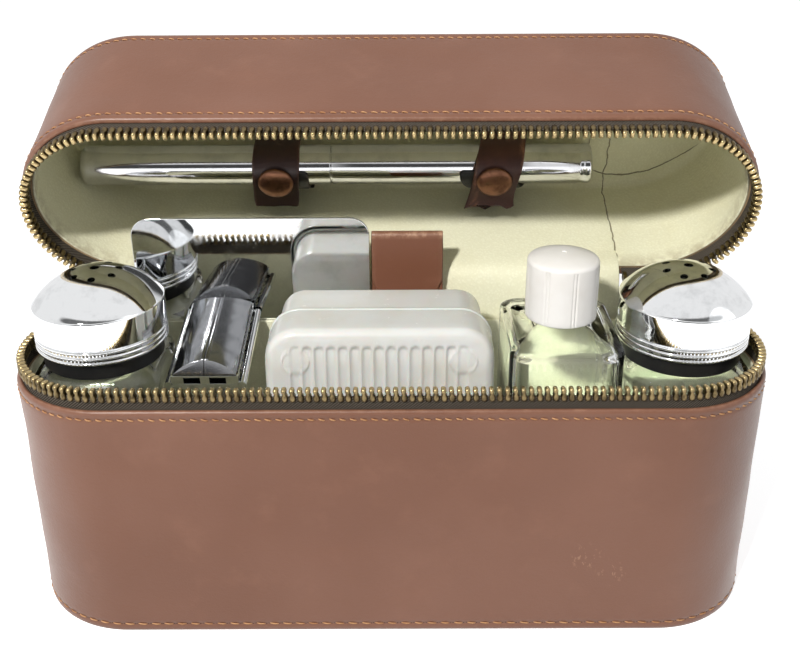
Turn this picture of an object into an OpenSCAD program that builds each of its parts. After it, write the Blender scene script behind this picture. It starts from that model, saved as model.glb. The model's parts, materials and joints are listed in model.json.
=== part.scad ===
// Travel grooming kit: a zip-round hide case, shown open, with its fitted contents.
// Millimetres, +Z up, +X along the case. Origin: centre of the flat underside.

/* [Case] */
// Overall length of the case
case_w = 260; // [250:1:290]
// Overall depth of the case, front to back
case_d = 74; // [73:0.5:84]
// Height of the base half, to its hide rim
base_h = 89; // [80:1:96]
// Height of the lid half, from its hide rim
lid_h = 52; // [52:1:70]
// Gap between the two hide rims when the zip is closed
zip_gap = 15; // [14:0.5:20]
// Thickness of the outer hide
hide_t = 1.8; // [1.2:0.1:2.2]
// Thickness of the stiffener board
board_t = 1.6; // [1.2:0.1:2]
// Thickness of the lining
lining_t = 0.8; // [0.5:0.1:1]
// How far board and lining stop below the hide rim
rim_set = 1.5; // [1:0.1:2.5]
// Angle that the lid stands open at
lid_open = 68; // [60:1:75]
// How far the hide hinge stops short of each round end
hinge_set = 7; // [4:0.5:16]

/* [Zip] */
// Pitch of the teeth
tooth_pitch = 2.54; // [2.3:0.02:3.2]
// Thickness of a tooth along the row
tooth_t = 1.3; // [1:0.1:1.5]
// Width of a tooth across the tape
tooth_w = 3; // [2.6:0.1:3.2]
// Height of a tooth
tooth_h = 4.5; // [4:0.1:5]
// How deep a tooth's legs straddle the tape
tooth_grip = 1.4; // [1:0.1:1.8]
// Thickness of the zip tape
tape_t = 0.8; // [0.5:0.1:1]
// Gap between the two rows when closed, half of it on each
row_gap = 0.4; // [0.3:0.1:0.8]
// Length of the slider
slider_l = 8; // [7:0.5:10]
// Length of the pull tab
pull_l = 24; // [18:1:28]

/* [Jars] */
// Width of the squared jar glass
jar_w = 43; // [40:0.5:43]
// Corner radius of the jar glass
jar_r = 11; // [9:0.5:14]
// Height of the jar glass to its shoulder
jar_shoulder = 87; // [80:0.5:87.5]
// Wall of the jar glass
jar_wall = 2.4; // [1.8:0.1:3]
// Radius of the jar's neck
neck_r = 17; // [15:0.5:18]
// Radius of the shaker cap
cap_r = 22.4; // [21:0.1:23]
// Height of the cap's straight skirt
cap_skirt = 15.5; // [12:0.5:16]
// Rise of the cap's dome
cap_dome = 11; // [8:0.5:11.5]
// Radius of the ring of sifter holes
sifter_ring = 8; // [6:0.5:10]
// Number of holes in that ring
sifter_count = 7; // [5:1:8]
// Left jar's middle, in from the case's end
left_jar_set = 29.5; // [29:0.1:30]
// Right jar's middle, in from the case's end
right_jar_set = 29; // [28.9:0.1:29.5]

/* [Bottle] */
// Width of the bottle
bottle_w = 38; // [34:0.5:39]
// Depth of the bottle, front to back
bottle_d = 46; // [40:0.5:48]
// Height of the bottle's glass to its shoulder
bottle_h = 98; // [90:0.5:98.5]
// Wall of the bottle
bottle_wall = 2.6; // [2:0.1:3]
// Radius of the white screw cap
bcap_r = 12.2; // [11:0.1:13]
// Height of the white screw cap
bcap_h = 23; // [22:0.5:24]
// Gap between the bottle and the right jar
bottle_gap = 2.3; // [1.9:0.1:2.7]

/* [Soap box] */
// Height of the soap box, standing on end
soap_h = 107.5; // [95:0.5:108]
// Depth of the ribbed front half
soap_t = 17.7; // [14:0.1:18]
// Depth of the plain rear half
soap_base_t = 22; // [16:0.5:23]
// Wall of the soap box
soap_wall = 1.8; // [1.4:0.1:2.4]
// Corner radius of the soap box
soap_r = 11; // [8:0.5:14]
// Number of flutes down the front
flutes = 15; // [8:1:16]
// Gap between the soap box and the bottle
soap_bottle_gap = 5.25; // [3:0.05:6.35]
// Gap between the soap box and the razor's head
soap_razor_gap = 8.05; // [6:0.05:10]

/* [Razor] */
// Length of the razor's head
head_l = 43; // [41:0.5:44]
// Width across the two doors
doors_w = 23; // [22:0.2:24]
// Rise of the doors' arch
door_rise = 5; // [4:0.2:5.6]
// Thickness of a door's shell
door_t = 1; // [0.8:0.1:1.2]
// Width across the guard bars
guard_w = 28; // [26:0.2:28.4]
// Radius of the handle
handle_r = 5; // [4:0.1:5.4]
// Height of the turning knob
knob_h = 12; // [9:0.5:15]
// Lean of the razor
razor_tilt = 10; // [8:0.2:10.2]
// Gap between the razor's head and the left jar
razor_gap = 1.9; // [1.8:0.1:2.5]

/* [Mirror and wallet] */
// Width of the metal mirror
mirror_w = 87; // [80:0.5:88]
// Height of the metal mirror
mirror_h = 127; // [110:1:128]
// Thickness of the mirror plate
mirror_t = 1.2; // [0.8:0.1:1.5]
// Corner radius of the mirror
mirror_r = 7; // [4:0.5:12]
// Mirror's left edge, in from the case's end
mirror_set = 35; // [34.5:0.1:35.5]
// Width of the comb wallet
wallet_w = 26.6; // [24:0.2:28]
// Height of the comb wallet
wallet_h = 120.4; // [112:0.2:122]
// Thickness of the wallet's hide
wallet_t = 0.7; // [0.6:0.05:0.75]
// Length of the wallet's flap
flap_l = 23.5; // [20:0.5:24]
// Gap between the wallet and the mirror
wallet_gap = 0.5; // [0.3:0.1:1.7]

/* [Tube and straps] */
// Radius of the toothbrush tube
tube_r = 7.8; // [7:0.1:8]
// Length of the tube's left half
tube_left_l = 96.7; // [86:0.1:97]
// Length of the tube's right half
tube_right_l = 100.3; // [94:0.1:104]
// Wall of the tube
tube_wall = 0.7; // [0.5:0.05:1]
// Length of the spigot that joins the halves
spigot_l = 12; // [8:1:16]
// Tube's left end, in from the case's end
tube_set = 10; // [9.8:0.1:11]
// Where the tube lies, forward of the hinge side
tube_y = 12; // [11.5:0.1:12.5]
// Width of the straps
strap_w = 18; // [15:0.5:18]
// Thickness of the strap hide
strap_t = 1.4; // [1.2:0.1:1.5]
// How far a flap runs on past the snap
strap_tail = 11.5; // [9:0.5:12]
// Middle of the left strap along the case
left_strap_x = -44; // [-47:0.5:-43]
// Middle of the right strap along the case
right_strap_x = 41; // [40:0.5:42]
// Radius of the snap caps
snap_r = 6.8; // [6:0.1:7]

/* [Clearances] */
// Gap under and beside what lifts out
seat_gap = 0.2; // [0.15:0.05:0.4]
// Gap beside what slides or turns
slide_gap = 0.3; // [0.2:0.05:0.4]

/* [Hidden] */
$fn = 96;

hide_brown = [0.55, 0.39, 0.32];
strap_brown = [0.2, 0.13, 0.11];
cream = [0.87, 0.86, 0.68];
brass = [0.42, 0.36, 0.22];
chrome = [0.78, 0.79, 0.81];
white = [0.93, 0.92, 0.89];
clear_green = [0.72, 0.8, 0.72, 0.4];
eps = 0.01;

// Case stack: the lid is drawn closed and then swung open about the hinge line
end_x = (case_w - case_d) / 2;
hinge_half = end_x - hinge_set;
shell_t = hide_t + board_t + lining_t;
seat_z = shell_t + seat_gap;
rim_z = base_h - rim_set;
hinge_y = case_d / 2;
hinge_z = base_h + zip_gap;
lid_z1 = hinge_z + lid_h;
lid_rim_z = hinge_z + rim_set;
ceiling_z = lid_z1 - shell_t;
inner_r = case_d / 2 - shell_t;

// Zip rows: a tape stands on the board's rim, teeth straddle its edge
tape_in = hide_t + 0.1;
row_r = case_d / 2 - tape_in - tape_t / 2;
row_mid_z = base_h + zip_gap / 2;
tooth_top = row_mid_z - row_gap / 2;
tooth_low = tooth_top - tooth_h;
tape_top = tooth_low + tooth_grip;
row_clear = 1;
slider_x = hinge_half + row_clear + tooth_t + slide_gap + slider_l / 2;
lid_row_stop = slider_x + slider_l / 2 + 2.4;

// Contents along the case: the jars keep to its ends, the soap box fills what is left
left_jar_x = case_w / 2 - left_jar_set;
right_jar_x = case_w / 2 - right_jar_set;
bottle_x = right_jar_x - jar_w / 2 - bottle_gap - bottle_w / 2;
razor_x = jar_w / 2 + razor_gap + guard_w / 2 - left_jar_x;
soap_left = razor_x + guard_w / 2 + soap_razor_gap;
soap_right = bottle_x - bottle_w / 2 - soap_bottle_gap;
soap_w = soap_right - soap_left;
soap_x = (soap_left + soap_right) / 2;
mirror_x = mirror_set + mirror_w / 2 - case_w / 2;
wallet_x = mirror_x + mirror_w / 2 + wallet_gap + wallet_w / 2;

// The jars stand on the floor; collar and cap stack up from the shoulder
jar_z1 = seat_z + jar_shoulder;
neck_h = 13;
neck_z1 = jar_z1 + neck_h;
collar_r = 20.4;
collar_low_h = 5;
sleeve_r = collar_r - 1.2;
collar_fit = 0.3;
cap_z0 = jar_z1 + collar_low_h + 0.7;
cap_wall = 1.2;
cap_web_t = 1.2;
dome_r = (cap_r * cap_r + cap_dome * cap_dome) / (2 * cap_dome);

bottle_z1 = seat_z + bottle_h;
bottle_y = -2;
bottle_rise = 3.5;
bneck_r = 8;
bneck_h = 18.4;
bneck_z1 = bottle_z1 + bottle_rise + bneck_h;
bcap_top_t = 4.4;
bcap_crown_r = 22;
liner_t = 1;
bcap_z1 = bneck_z1 + seat_gap + liner_t + bcap_top_t;
bcap_z0 = bcap_z1 - bcap_h;

soap_front_y = -26;
soap_mid_y = soap_front_y + soap_t;
soap_lip = 4;

razor_y = 5.6;
razor_z = 93.6;
head_deck = 1;
head_lift = 0.2;
blade_w = doors_w - 1;
blade_l = head_l - 7;
blade_t = 0.25;
blade_slot = blade_l - 8;
frame_t = 1.2;
guard_z = -5.2;
guard_t = 1.8;
handle_top = -5.8;
door_z = 0.65;
door_lean = 34;
rod_r = 2;
rod_in = 5;
socket_r = 4.4;

// Back pocket, mirror and wallet stand behind its panel
pocket_y0 = 27;
pocket_t = 1.2;
pocket_top = base_h + 1;
mirror_lean = 2;
wallet_back_y = inner_r - 0.4;
comb_t = 1;
wallet_cavity = comb_t + 0.2;
flap_gap = 0.15;
sleeve_y0 = wallet_back_y - 2 * wallet_t - wallet_cavity;
flap_y0 = sleeve_y0 - flap_gap - wallet_t;
flap_pivot_z = seat_z + wallet_h - 2;

// Tube and straps, in the closed lid
loop_r0 = tube_r + slide_gap;
loop_r1 = loop_r0 + strap_t;
flap_r0 = loop_r1 + slide_gap;
flap_r1 = flap_r0 + strap_t;
strap_pad_t = 1.5;
tube_z = ceiling_z - strap_pad_t - loop_r1;
tube_x0 = tube_set - case_w / 2;
tube_joint_x = tube_x0 + tube_left_l;
tube_x1 = tube_joint_x + tube_right_l;
stud_r = 2.2;
stud_h = 0.8;
stud_play = 1.4;
snap_t = 2.2;
snap_crown_r = 16;
rivet_t = 0.8;
loop_w = 21;
left_loop_shift = 1.6;
right_loop_shift = -0.8;

// Outline of the case, set in from the hide's outer face
module plan(inset) {
    r = case_d / 2 - inset;
    square([2 * end_x, 2 * r], center = true);
    for (side = [-1, 1]) translate([side * end_x, 0]) circle(r = r);
}

// Upright band that follows the outline
module band(inset, t, z0, z1) {
    translate([0, 0, z0]) linear_extrude(z1 - z0) difference() {
        plan(inset);
        plan(inset + t);
    }
}

module slab(inset, z0, z1) {
    translate([0, 0, z0]) linear_extrude(z1 - z0) plan(inset);
}

// Rectangle with round corners, centred
module rounded(w, h, r) {
    square([w - 2 * r, h], center = true);
    square([w, h - 2 * r], center = true);
    for (x = [-1, 1], y = [-1, 1]) translate([x * (w / 2 - r), y * (h / 2 - r)]) circle(r = r);
}

// Stands a drawing made in X and Z upright, running t back from y0
module upright(y0, t) {
    translate([0, y0 + t, 0]) rotate([90, 0, 0]) linear_extrude(t) children();
}

// Swings what was drawn in the closed lid to the open pose
module in_lid() {
    translate([0, hinge_y, hinge_z]) rotate([-lid_open, 0, 0]) translate([0, -hinge_y, -hinge_z])
        children();
}

// Turns a base zip piece over into the lid's half of the gap
module flipped() {
    translate([0, 0, 2 * row_mid_z]) mirror([0, 0, 1]) children();
}

// Case layers
module base_wall() {
    color(hide_brown) band(0, hide_t, 0, base_h);
}

module base_floor() {
    color(hide_brown) slab(hide_t, 0, hide_t);
}

module tray(inset, t, floor_z, top_z) {
    band(inset, t, floor_z, top_z);
    slab(inset, floor_z, floor_z + t);
}

module base_board() {
    color("tan") tray(hide_t, board_t, hide_t, rim_z);
}

module base_lining() {
    color(cream) band(hide_t + board_t, lining_t, hide_t + board_t, rim_z);
}

// Covered card that lies on the floor inside the lining
module base_pad() {
    color(cream) slab(shell_t, hide_t + board_t, shell_t);
}

module pocket_panel() {
    color(cream) intersection() {
        slab(shell_t, shell_t, pocket_top);
        translate([-case_w / 2, pocket_y0, 0]) cube([case_w, pocket_t, pocket_top]);
    }
}

module hinge_strip() {
    color(hide_brown) translate([-hinge_half, hinge_y - hide_t, base_h])
        cube([2 * hinge_half, hide_t, zip_gap - slide_gap]);
}

module hinge_lining() {
    color(cream) translate([-hinge_half, hinge_y - hide_t - lining_t, rim_z])
        cube([2 * hinge_half, lining_t, hinge_z - slide_gap - rim_z]);
}

// Zip
// The row runs from the back right corner round the front to the back left corner
row_straight = end_x - hinge_half - row_clear;
row_arc = PI * row_r;
row_length = 2 * row_straight + 2 * row_arc + 2 * end_x;

// Place on the row at a distance s along it: x, y and the outward direction in degrees
function row_at(s) =
    s < row_straight ? [end_x - row_straight + s, row_r, 90]
    : s < row_straight + row_arc
        ? let (a = 90 - (s - row_straight) / row_r * 180 / PI)
            [end_x + row_r * cos(a), row_r * sin(a), a]
    : s < row_straight + row_arc + 2 * end_x
        ? [end_x - (s - row_straight - row_arc), -row_r, -90]
    : s < row_straight + 2 * row_arc + 2 * end_x
        ? let (a = -90 - (s - row_straight - row_arc - 2 * end_x) / row_r * 180 / PI)
            [-end_x + row_r * cos(a), row_r * sin(a), a]
    : [-end_x + s - (row_length - row_straight), row_r, 90];

module tape(stop_x) {
    difference() {
        band(tape_in, tape_t, rim_z, tape_top);
        translate([-stop_x, 0, rim_z - eps])
            cube([stop_x + hinge_half + row_clear, case_d, tape_top - rim_z + 2 * eps]);
    }
}

// One tooth: two legs clamp the tape's edge under a sloping head
module tooth() {
    w = tooth_w / 2;
    g = tape_t / 2;
    crown = tooth_w * 0.22;
    translate([0, tooth_t / 2, tooth_low]) rotate([90, 0, 0]) linear_extrude(tooth_t)
        polygon([[-w, 0], [-g, 0], [-g, tooth_grip], [g, tooth_grip], [g, 0], [w, 0],
            [w, tooth_h - 1.2], [crown, tooth_h], [-crown, tooth_h], [-w, tooth_h - 1.2]]);
}

module teeth(first, stop_x) {
    for (i = [0 : floor((row_length - 2 * tooth_t) / tooth_pitch)]) {
        at = row_at(first + i * tooth_pitch);
        if (!(at[0] > -stop_x && at[0] < 0 && at[1] > 0))
            translate([at[0], at[1], 0]) rotate([0, 0, at[2]]) tooth();
    }
}

// Crimped stop beyond the last tooth, at x on the back of the row
module row_stop(x, y) {
    w = tooth_w / 2;
    g = tape_t / 2;
    translate([x - tooth_t / 2, y, 0]) rotate([90, 0, 90]) linear_extrude(tooth_t)
        polygon([[-w, tooth_low - 1], [-g, tooth_low - 1], [-g, tape_top], [g, tape_top],
            [g, tooth_low - 1], [w, tooth_low - 1], [w, tape_top + 1], [-w, tape_top + 1]]);
}

stop_x_right = hinge_half + row_clear + tooth_t / 2;
first_tooth = 1.6 + tooth_t;

module base_zip_tape() {
    color("dimgray") tape(hinge_half + row_clear);
}

module base_zip_teeth() {
    color(brass) teeth(first_tooth, hinge_half + row_clear + first_tooth);
}

module base_zip_stops() {
    color(brass) {
        row_stop(stop_x_right, row_r);
        row_stop(-stop_x_right, row_r);
    }
}

module lid_zip_tape() {
    color("dimgray") in_lid() flipped() tape(lid_row_stop);
}

module lid_zip_teeth() {
    color(brass) in_lid() flipped() teeth(first_tooth + tooth_pitch / 2, lid_row_stop + first_tooth);
}

lid_stop_y = sqrt(pow(row_r, 2) - pow(lid_row_stop + tooth_t / 2 - end_x, 2));

module lid_zip_stops() {
    color(brass) in_lid() flipped() {
        row_stop(stop_x_right, row_r);
        translate([-lid_row_stop - tooth_t / 2, lid_stop_y, 0])
            rotate([0, 0, asin((lid_row_stop + tooth_t / 2 - end_x) / row_r)]) row_stop(0, 0);
    }
}

// The slider is a short channel that rides the base row, with a bridge for the pull
slider_w = tooth_w / 2 + slide_gap;
slider_plate = 1.2;
slider_z0 = tooth_low - 1.4;
slider_z1 = tooth_top + slide_gap + slider_plate;
bridge_r = 2.4;
bridge_y = row_r + slider_w + slider_plate;
pull_z = slider_z1 - 3.4;

module zip_slider() {
    color(brass) translate([-slider_x - slider_l / 2, 0, 0]) {
        difference() {
            translate([0, row_r - slider_w - slider_plate, slider_z0])
                cube([slider_l, 2 * (slider_w + slider_plate), slider_z1 - slider_z0]);
            translate([-eps, row_r - slider_w, tooth_low - slide_gap])
                cube([slider_l + 2 * eps, 2 * slider_w, tooth_h + 2 * slide_gap]);
            translate([-eps, row_r - tape_t / 2 - slide_gap, slider_z0 - eps])
                cube([slider_l + 2 * eps, tape_t + 2 * slide_gap, tooth_low - slider_z0]);
        }
        // Bridge: a loop standing off the outer plate that the pull hangs on
        difference() {
            translate([slider_l / 2 - 1, bridge_y, pull_z - bridge_r])
                cube([2, 3, 2 * bridge_r]);
            translate([0, bridge_y + 1.2, pull_z]) rotate([0, 90, 0])
                cylinder(r = 0.9, h = slider_l, $fn = 32);
        }
    }
}

module zip_pull() {
    eye_w = 5;
    wire_r = 0.6;
    color(brass) translate([-slider_x, bridge_y + 1.2, pull_z]) {
        // Cross wire through the bridge, two cheeks and a flat tab
        translate([-eye_w / 2, 0, 0]) rotate([0, 90, 0]) cylinder(r = wire_r, h = eye_w, $fn = 32);
        for (side = [-1, 1])
            translate([side * eye_w / 2 - 0.5, -wire_r, -7]) cube([1, 2 * wire_r, 7.6]);
        difference() {
            translate([0, wire_r, -4.4]) rotate([90, 0, 0]) linear_extrude(2 * wire_r)
                translate([0, -(pull_l - 4.4) / 2]) rounded(eye_w + 1, pull_l - 4.4, 2.4);
            translate([0, 2, 3 - pull_l]) rotate([90, 0, 0]) cylinder(r = 1.2, h = 4, $fn = 32);
        }
    }
}

// Lid layers
module lid_wall() {
    color(hide_brown) in_lid() band(0, hide_t, hinge_z, lid_z1);
}

module lid_top() {
    color(hide_brown) in_lid() slab(hide_t, lid_z1 - hide_t, lid_z1);
}

module lid_tray(inset, t, roof_z) {
    band(inset, t, lid_rim_z, roof_z);
    slab(inset, roof_z - t, roof_z);
}

module lid_board() {
    color("tan") in_lid() lid_tray(hide_t, board_t, lid_z1 - hide_t);
}

module lid_lining() {
    color(cream) in_lid() lid_tray(hide_t + board_t, lining_t, lid_z1 - hide_t - board_t);
}

// Straps, drawn in Y and Z about the tube's axis, then run along X
module strap_band(x, w) {
    in_lid() translate([x - w / 2, tube_y, tube_z]) rotate([90, 0, 90])
        linear_extrude(w) children();
}

module ring2d(r0, r1) {
    difference() {
        circle(r = r1);
        circle(r = r0);
    }
}

pad_z = ceiling_z - tube_z;
pad_back = inner_r - tube_y - slide_gap;
reach = 4 * flap_r1;

// Under band: a pad riveted to the roof, and a hook round the hinge side of the tube
module strap_loop(x) {
    color(strap_brown) strap_band(x, loop_w) {
        translate([loop_r0, pad_z - strap_pad_t]) square([pad_back - loop_r0, strap_pad_t]);
        translate([loop_r0, 0]) square([strap_t, pad_z]);
        intersection() {
            ring2d(loop_r0, loop_r1);
            rotate(-110) square(reach);
        }
        intersection() {
            ring2d(loop_r0, loop_r1);
            translate([0, -reach]) square(reach);
        }
    }
}

// Over band: down the front side of the tube, round under it and on past the snap
module strap_flap(x) {
    color(strap_brown) difference() {
        strap_band(x, strap_w) {
            translate([-flap_r1, 0]) square([strap_t, pad_z - slide_gap]);
            intersection() {
                ring2d(flap_r0, flap_r1);
                translate([-reach, -reach]) square([reach, reach]);
            }
            translate([0, -flap_r1]) square([strap_tail, strap_t]);
        }
        // Hole that the stud stands in
        in_lid() translate([x, tube_y, tube_z - flap_r1 - 1]) cylinder(r = stud_r + stud_play, h = 4);
    }
}

module strap_stud(x) {
    color("peru") in_lid() translate([x, tube_y, tube_z - loop_r1 - stud_h])
        cylinder(r = stud_r, h = stud_h + 0.4);
}

// Snap cap on the flap's outer face
module strap_cap(x) {
    color("peru") in_lid() translate([x, tube_y, tube_z - flap_r1 - snap_t])
        intersection() {
            cylinder(r = snap_r, h = snap_t);
            translate([0, 0, snap_crown_r]) sphere(r = snap_crown_r + eps);
        }
}

module left_strap_loop() { strap_loop(left_strap_x + left_loop_shift); }
module right_strap_loop() { strap_loop(right_strap_x + right_loop_shift); }
module left_strap_flap() { strap_flap(left_strap_x); }
module right_strap_flap() { strap_flap(right_strap_x); }
module left_strap_stud() { strap_stud(left_strap_x); }
module right_strap_stud() { strap_stud(right_strap_x); }
module left_strap_cap() { strap_cap(left_strap_x); }
module right_strap_cap() { strap_cap(right_strap_x); }

module strap_rivets() {
    rivet_y = inner_r - 0.3 * strap_w;
    color("peru") in_lid() for (x = [left_strap_x, right_strap_x], side = [-1, 1])
        translate([x + side * strap_w / 4, rivet_y, ceiling_z - strap_pad_t - rivet_t])
            cylinder(r = 2, h = rivet_t, $fn = 32);
}

// Toothbrush tube: two cups, drawn up from a closed end with a rounded edge
module tube_cup(l) {
    round_r = 3;
    difference() {
        union() {
            cylinder(r = tube_r - round_r, h = l);
            translate([0, 0, round_r]) cylinder(r = tube_r, h = l - round_r);
            translate([0, 0, round_r]) rotate_extrude() translate([tube_r - round_r, 0])
                circle(r = round_r);
        }
        translate([0, 0, round_r]) cylinder(r = tube_r - tube_wall, h = l);
        translate([0, 0, tube_wall]) cylinder(r = tube_r - round_r, h = l);
    }
}

module tube_body() {
    spigot_r = tube_r - tube_wall - 0.05;
    color(chrome) {
        in_lid() translate([tube_x0, tube_y, tube_z]) rotate([0, 90, 0]) tube_cup(tube_left_l);
        in_lid() translate([tube_joint_x - spigot_l / 2, tube_y, tube_z]) rotate([0, 90, 0])
            difference() {
                union() {
                    cylinder(r = tube_r - tube_wall / 2, h = spigot_l / 2 - eps);
                    cylinder(r = spigot_r, h = 1.5 * spigot_l);
                }
                translate([0, 0, -eps]) cylinder(r = spigot_r - tube_wall, h = 2 * spigot_l);
            }
    }
}

module tube_cap() {
    rim_l = 2.4;
    color(chrome) {
        in_lid() translate([tube_x1, tube_y, tube_z]) rotate([0, -90, 0])
            tube_cup(tube_right_l - seat_gap);
        in_lid() translate([tube_x1 - rim_l - 3, tube_y, tube_z]) rotate([0, 90, 0]) difference() {
            cylinder(r = tube_r + slide_gap, h = rim_l);
            translate([0, 0, -eps]) cylinder(r = tube_r - tube_wall / 2, h = rim_l + 2 * eps);
        }
    }
}

// Jars
module jar_glass(x) {
    inner_w = jar_w - 2 * jar_wall;
    color(clear_green) translate([x, 0, 0]) difference() {
        union() {
            translate([0, 0, seat_z]) linear_extrude(jar_shoulder) rounded(jar_w, jar_w, jar_r);
            translate([0, 0, jar_z1 - eps]) cylinder(r = neck_r, h = neck_h + eps);
        }
        translate([0, 0, seat_z + 2 * jar_wall]) linear_extrude(jar_shoulder - 3 * jar_wall - 3)
            rounded(inner_w, inner_w, jar_r - jar_wall);
        translate([0, 0, seat_z + 10]) cylinder(r = neck_r - jar_wall, h = neck_z1);
    }
}

// Black screw collar: a flange that shows under the cap and a sleeve inside it
module jar_collar(x) {
    color([0.07, 0.07, 0.07]) translate([x, 0, jar_z1]) difference() {
        union() {
            cylinder(r = collar_r, h = collar_low_h);
            cylinder(r = sleeve_r, h = neck_h);
        }
        translate([0, 0, -eps]) cylinder(r = neck_r + collar_fit, h = neck_h + 2 * eps);
    }
}

module jar_cap(x, first_hole) {
    web_z = neck_z1 + 2 * seat_gap;
    dome_z = cap_z0 + cap_skirt;
    color(chrome) translate([x, 0, 0]) difference() {
        union() {
            translate([0, 0, cap_z0]) cylinder(r = cap_r, h = cap_skirt);
            // Rolled beads round the foot of the skirt
            for (i = [0 : 2]) translate([0, 0, cap_z0 + 0.9 + 1.9 * i])
                rotate_extrude() translate([cap_r - 0.3, 0]) circle(r = 0.7, $fn = 24);
            translate([0, 0, dome_z]) intersection() {
                cylinder(r = cap_r, h = cap_dome + 1);
                translate([0, 0, cap_dome - dome_r]) sphere(r = dome_r, $fn = 128);
            }
        }
        difference() {
            union() {
                translate([0, 0, cap_z0 - eps])
                    cylinder(r = cap_r - cap_wall, h = cap_skirt + 2 * eps);
                translate([0, 0, dome_z]) intersection() {
                    cylinder(r = cap_r - cap_wall, h = cap_dome);
                    translate([0, 0, cap_dome - dome_r]) sphere(r = dome_r - cap_wall, $fn = 128);
                }
            }
            // Web that seats on the collar's top, and the sleeve that turns on the collar
            translate([0, 0, web_z]) difference() {
                cylinder(r = cap_r, h = cap_web_t);
                translate([0, 0, -eps]) cylinder(r = neck_r - jar_wall, h = cap_web_t + 2 * eps);
            }
            translate([0, 0, cap_z0 + 0.5]) difference() {
                cylinder(r = sleeve_r + slide_gap + 0.8, h = web_z - cap_z0);
                translate([0, 0, -eps]) cylinder(r = sleeve_r + slide_gap, h = web_z - cap_z0 + 1);
            }
        }
        translate([0, 0, dome_z]) {
            cylinder(r = 1.6, h = cap_dome + 1, $fn = 32);
            for (i = [0 : sifter_count - 1]) rotate([0, 0, first_hole + i * 360 / sifter_count])
                translate([sifter_ring, 0, 0]) cylinder(r = 1.3, h = cap_dome + 1, $fn = 32);
        }
    }
}

module left_jar_glass() { jar_glass(-left_jar_x); }
module left_jar_collar() { jar_collar(-left_jar_x); }
module left_jar_cap() { jar_cap(-left_jar_x, 20); }
module right_jar_glass() { jar_glass(right_jar_x); }
module right_jar_collar() { jar_collar(right_jar_x); }
module right_jar_cap() { jar_cap(right_jar_x, 40); }

// Bottle
bottle_r = 6;
bneck_wall = 1.8;

module bottle_glass() {
    color(clear_green) translate([bottle_x, bottle_y, 0]) difference() {
        union() {
            intersection() {
                translate([0, 0, seat_z]) linear_extrude(bottle_h + bottle_rise)
                    rounded(bottle_w, bottle_d, bottle_r);
                union() {
                    translate([0, 0, seat_z]) cylinder(r = bottle_d, h = bottle_h);
                    translate([0, 0, bottle_z1 - eps])
                        cylinder(r1 = bottle_d * 0.66, r2 = bneck_r + 2, h = bottle_rise);
                }
            }
            translate([0, 0, bottle_z1]) cylinder(r = bneck_r, h = bottle_rise + bneck_h);
        }
        translate([0, 0, seat_z + 2 * bottle_wall]) linear_extrude(bottle_h - 3 * bottle_wall)
            rounded(bottle_w - 2 * bottle_wall, bottle_d - 2 * bottle_wall, bottle_r - bottle_wall);
        translate([0, 0, seat_z + 10]) cylinder(r = bneck_r - bneck_wall, h = bneck_z1);
    }
}

module bottle_liner() {
    color("gainsboro") translate([bottle_x, bottle_y, bneck_z1 + seat_gap])
        cylinder(r = bneck_r, h = liner_t);
}

module bottle_cap() {
    bore_r = bneck_r + slide_gap;
    color(white) translate([bottle_x, bottle_y, bcap_z0]) difference() {
        intersection() {
            cylinder(r = bcap_r, h = bcap_h);
            translate([0, 0, bcap_h - bcap_crown_r]) sphere(r = bcap_crown_r + eps);
        }
        translate([0, 0, -eps]) cylinder(r = bore_r, h = bneck_z1 + seat_gap + liner_t - bcap_z0 + eps);
        // Pairs of fine grip grooves
        for (i = [0 : 7], side = [-1, 1]) rotate([0, 0, i * 45 + 12 + side * 4])
            translate([bcap_r + 0.3, 0, -eps]) cylinder(r = 0.55, h = bcap_h - 4, $fn = 16);
    }
}

// Soap box: two trays standing on end, the ribbed lid in front and the base behind it
soap_z = seat_z + soap_h / 2;

module soap_box_lid() {
    pitch = (soap_w - 2 * soap_r) / (flutes - 1);
    groove_r = 1.5;
    groove_end = 3.2;
    boss_r = 4.4;
    color(white) translate([soap_x, soap_front_y, soap_z]) {
        difference() {
            upright(0, soap_t) rounded(soap_w, soap_h, soap_r);
            upright(soap_wall + eps, soap_t)
                rounded(soap_w - 2 * soap_wall, soap_h - 2 * soap_wall, soap_r - soap_wall);
            for (i = [0 : flutes - 1])
                translate([-soap_w / 2 + soap_r + i * pitch, -0.9, -soap_h / 2 + groove_end])
                    cylinder(r = groove_r, h = soap_h - 2 * groove_end, $fn = 24);
        }
        // Round bosses near the four corners
        for (x = [-1, 1], z = [-1, 1])
            translate([x * (soap_w / 2 - soap_r), soap_wall / 2, z * (soap_h / 2 - soap_r)])
                rotate([90, 0, 0]) cylinder(r = boss_r, h = soap_wall / 2 + 0.3);
    }
}

// Plain tray whose edge stands inside the lid
module soap_box_base() {
    inset = soap_wall + slide_gap;
    color(white) translate([0, soap_mid_y - soap_lip, 0]) translate([soap_x, 0, soap_z]) difference() {
        upright(0, soap_base_t + soap_lip)
            rounded(soap_w - 2 * inset, soap_h - 2 * inset, soap_r - inset);
        upright(-eps, soap_base_t + soap_lip - soap_wall)
            rounded(soap_w - 2 * inset - 2 * soap_wall, soap_h - 2 * inset - 2 * soap_wall,
                soap_r - inset - soap_wall);
    }
}

// Razor, drawn about the middle of its head with the handle down, then leaned
module in_razor() {
    translate([razor_x, razor_y, razor_z]) rotate([razor_tilt, 0, 0]) children();
}

door_r = (pow(doors_w / 2, 2) + pow(door_rise, 2)) / (2 * door_rise);
knob_z1 = -(razor_z - seat_z - handle_r * sin(razor_tilt)) / cos(razor_tilt) + knob_h;

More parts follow.
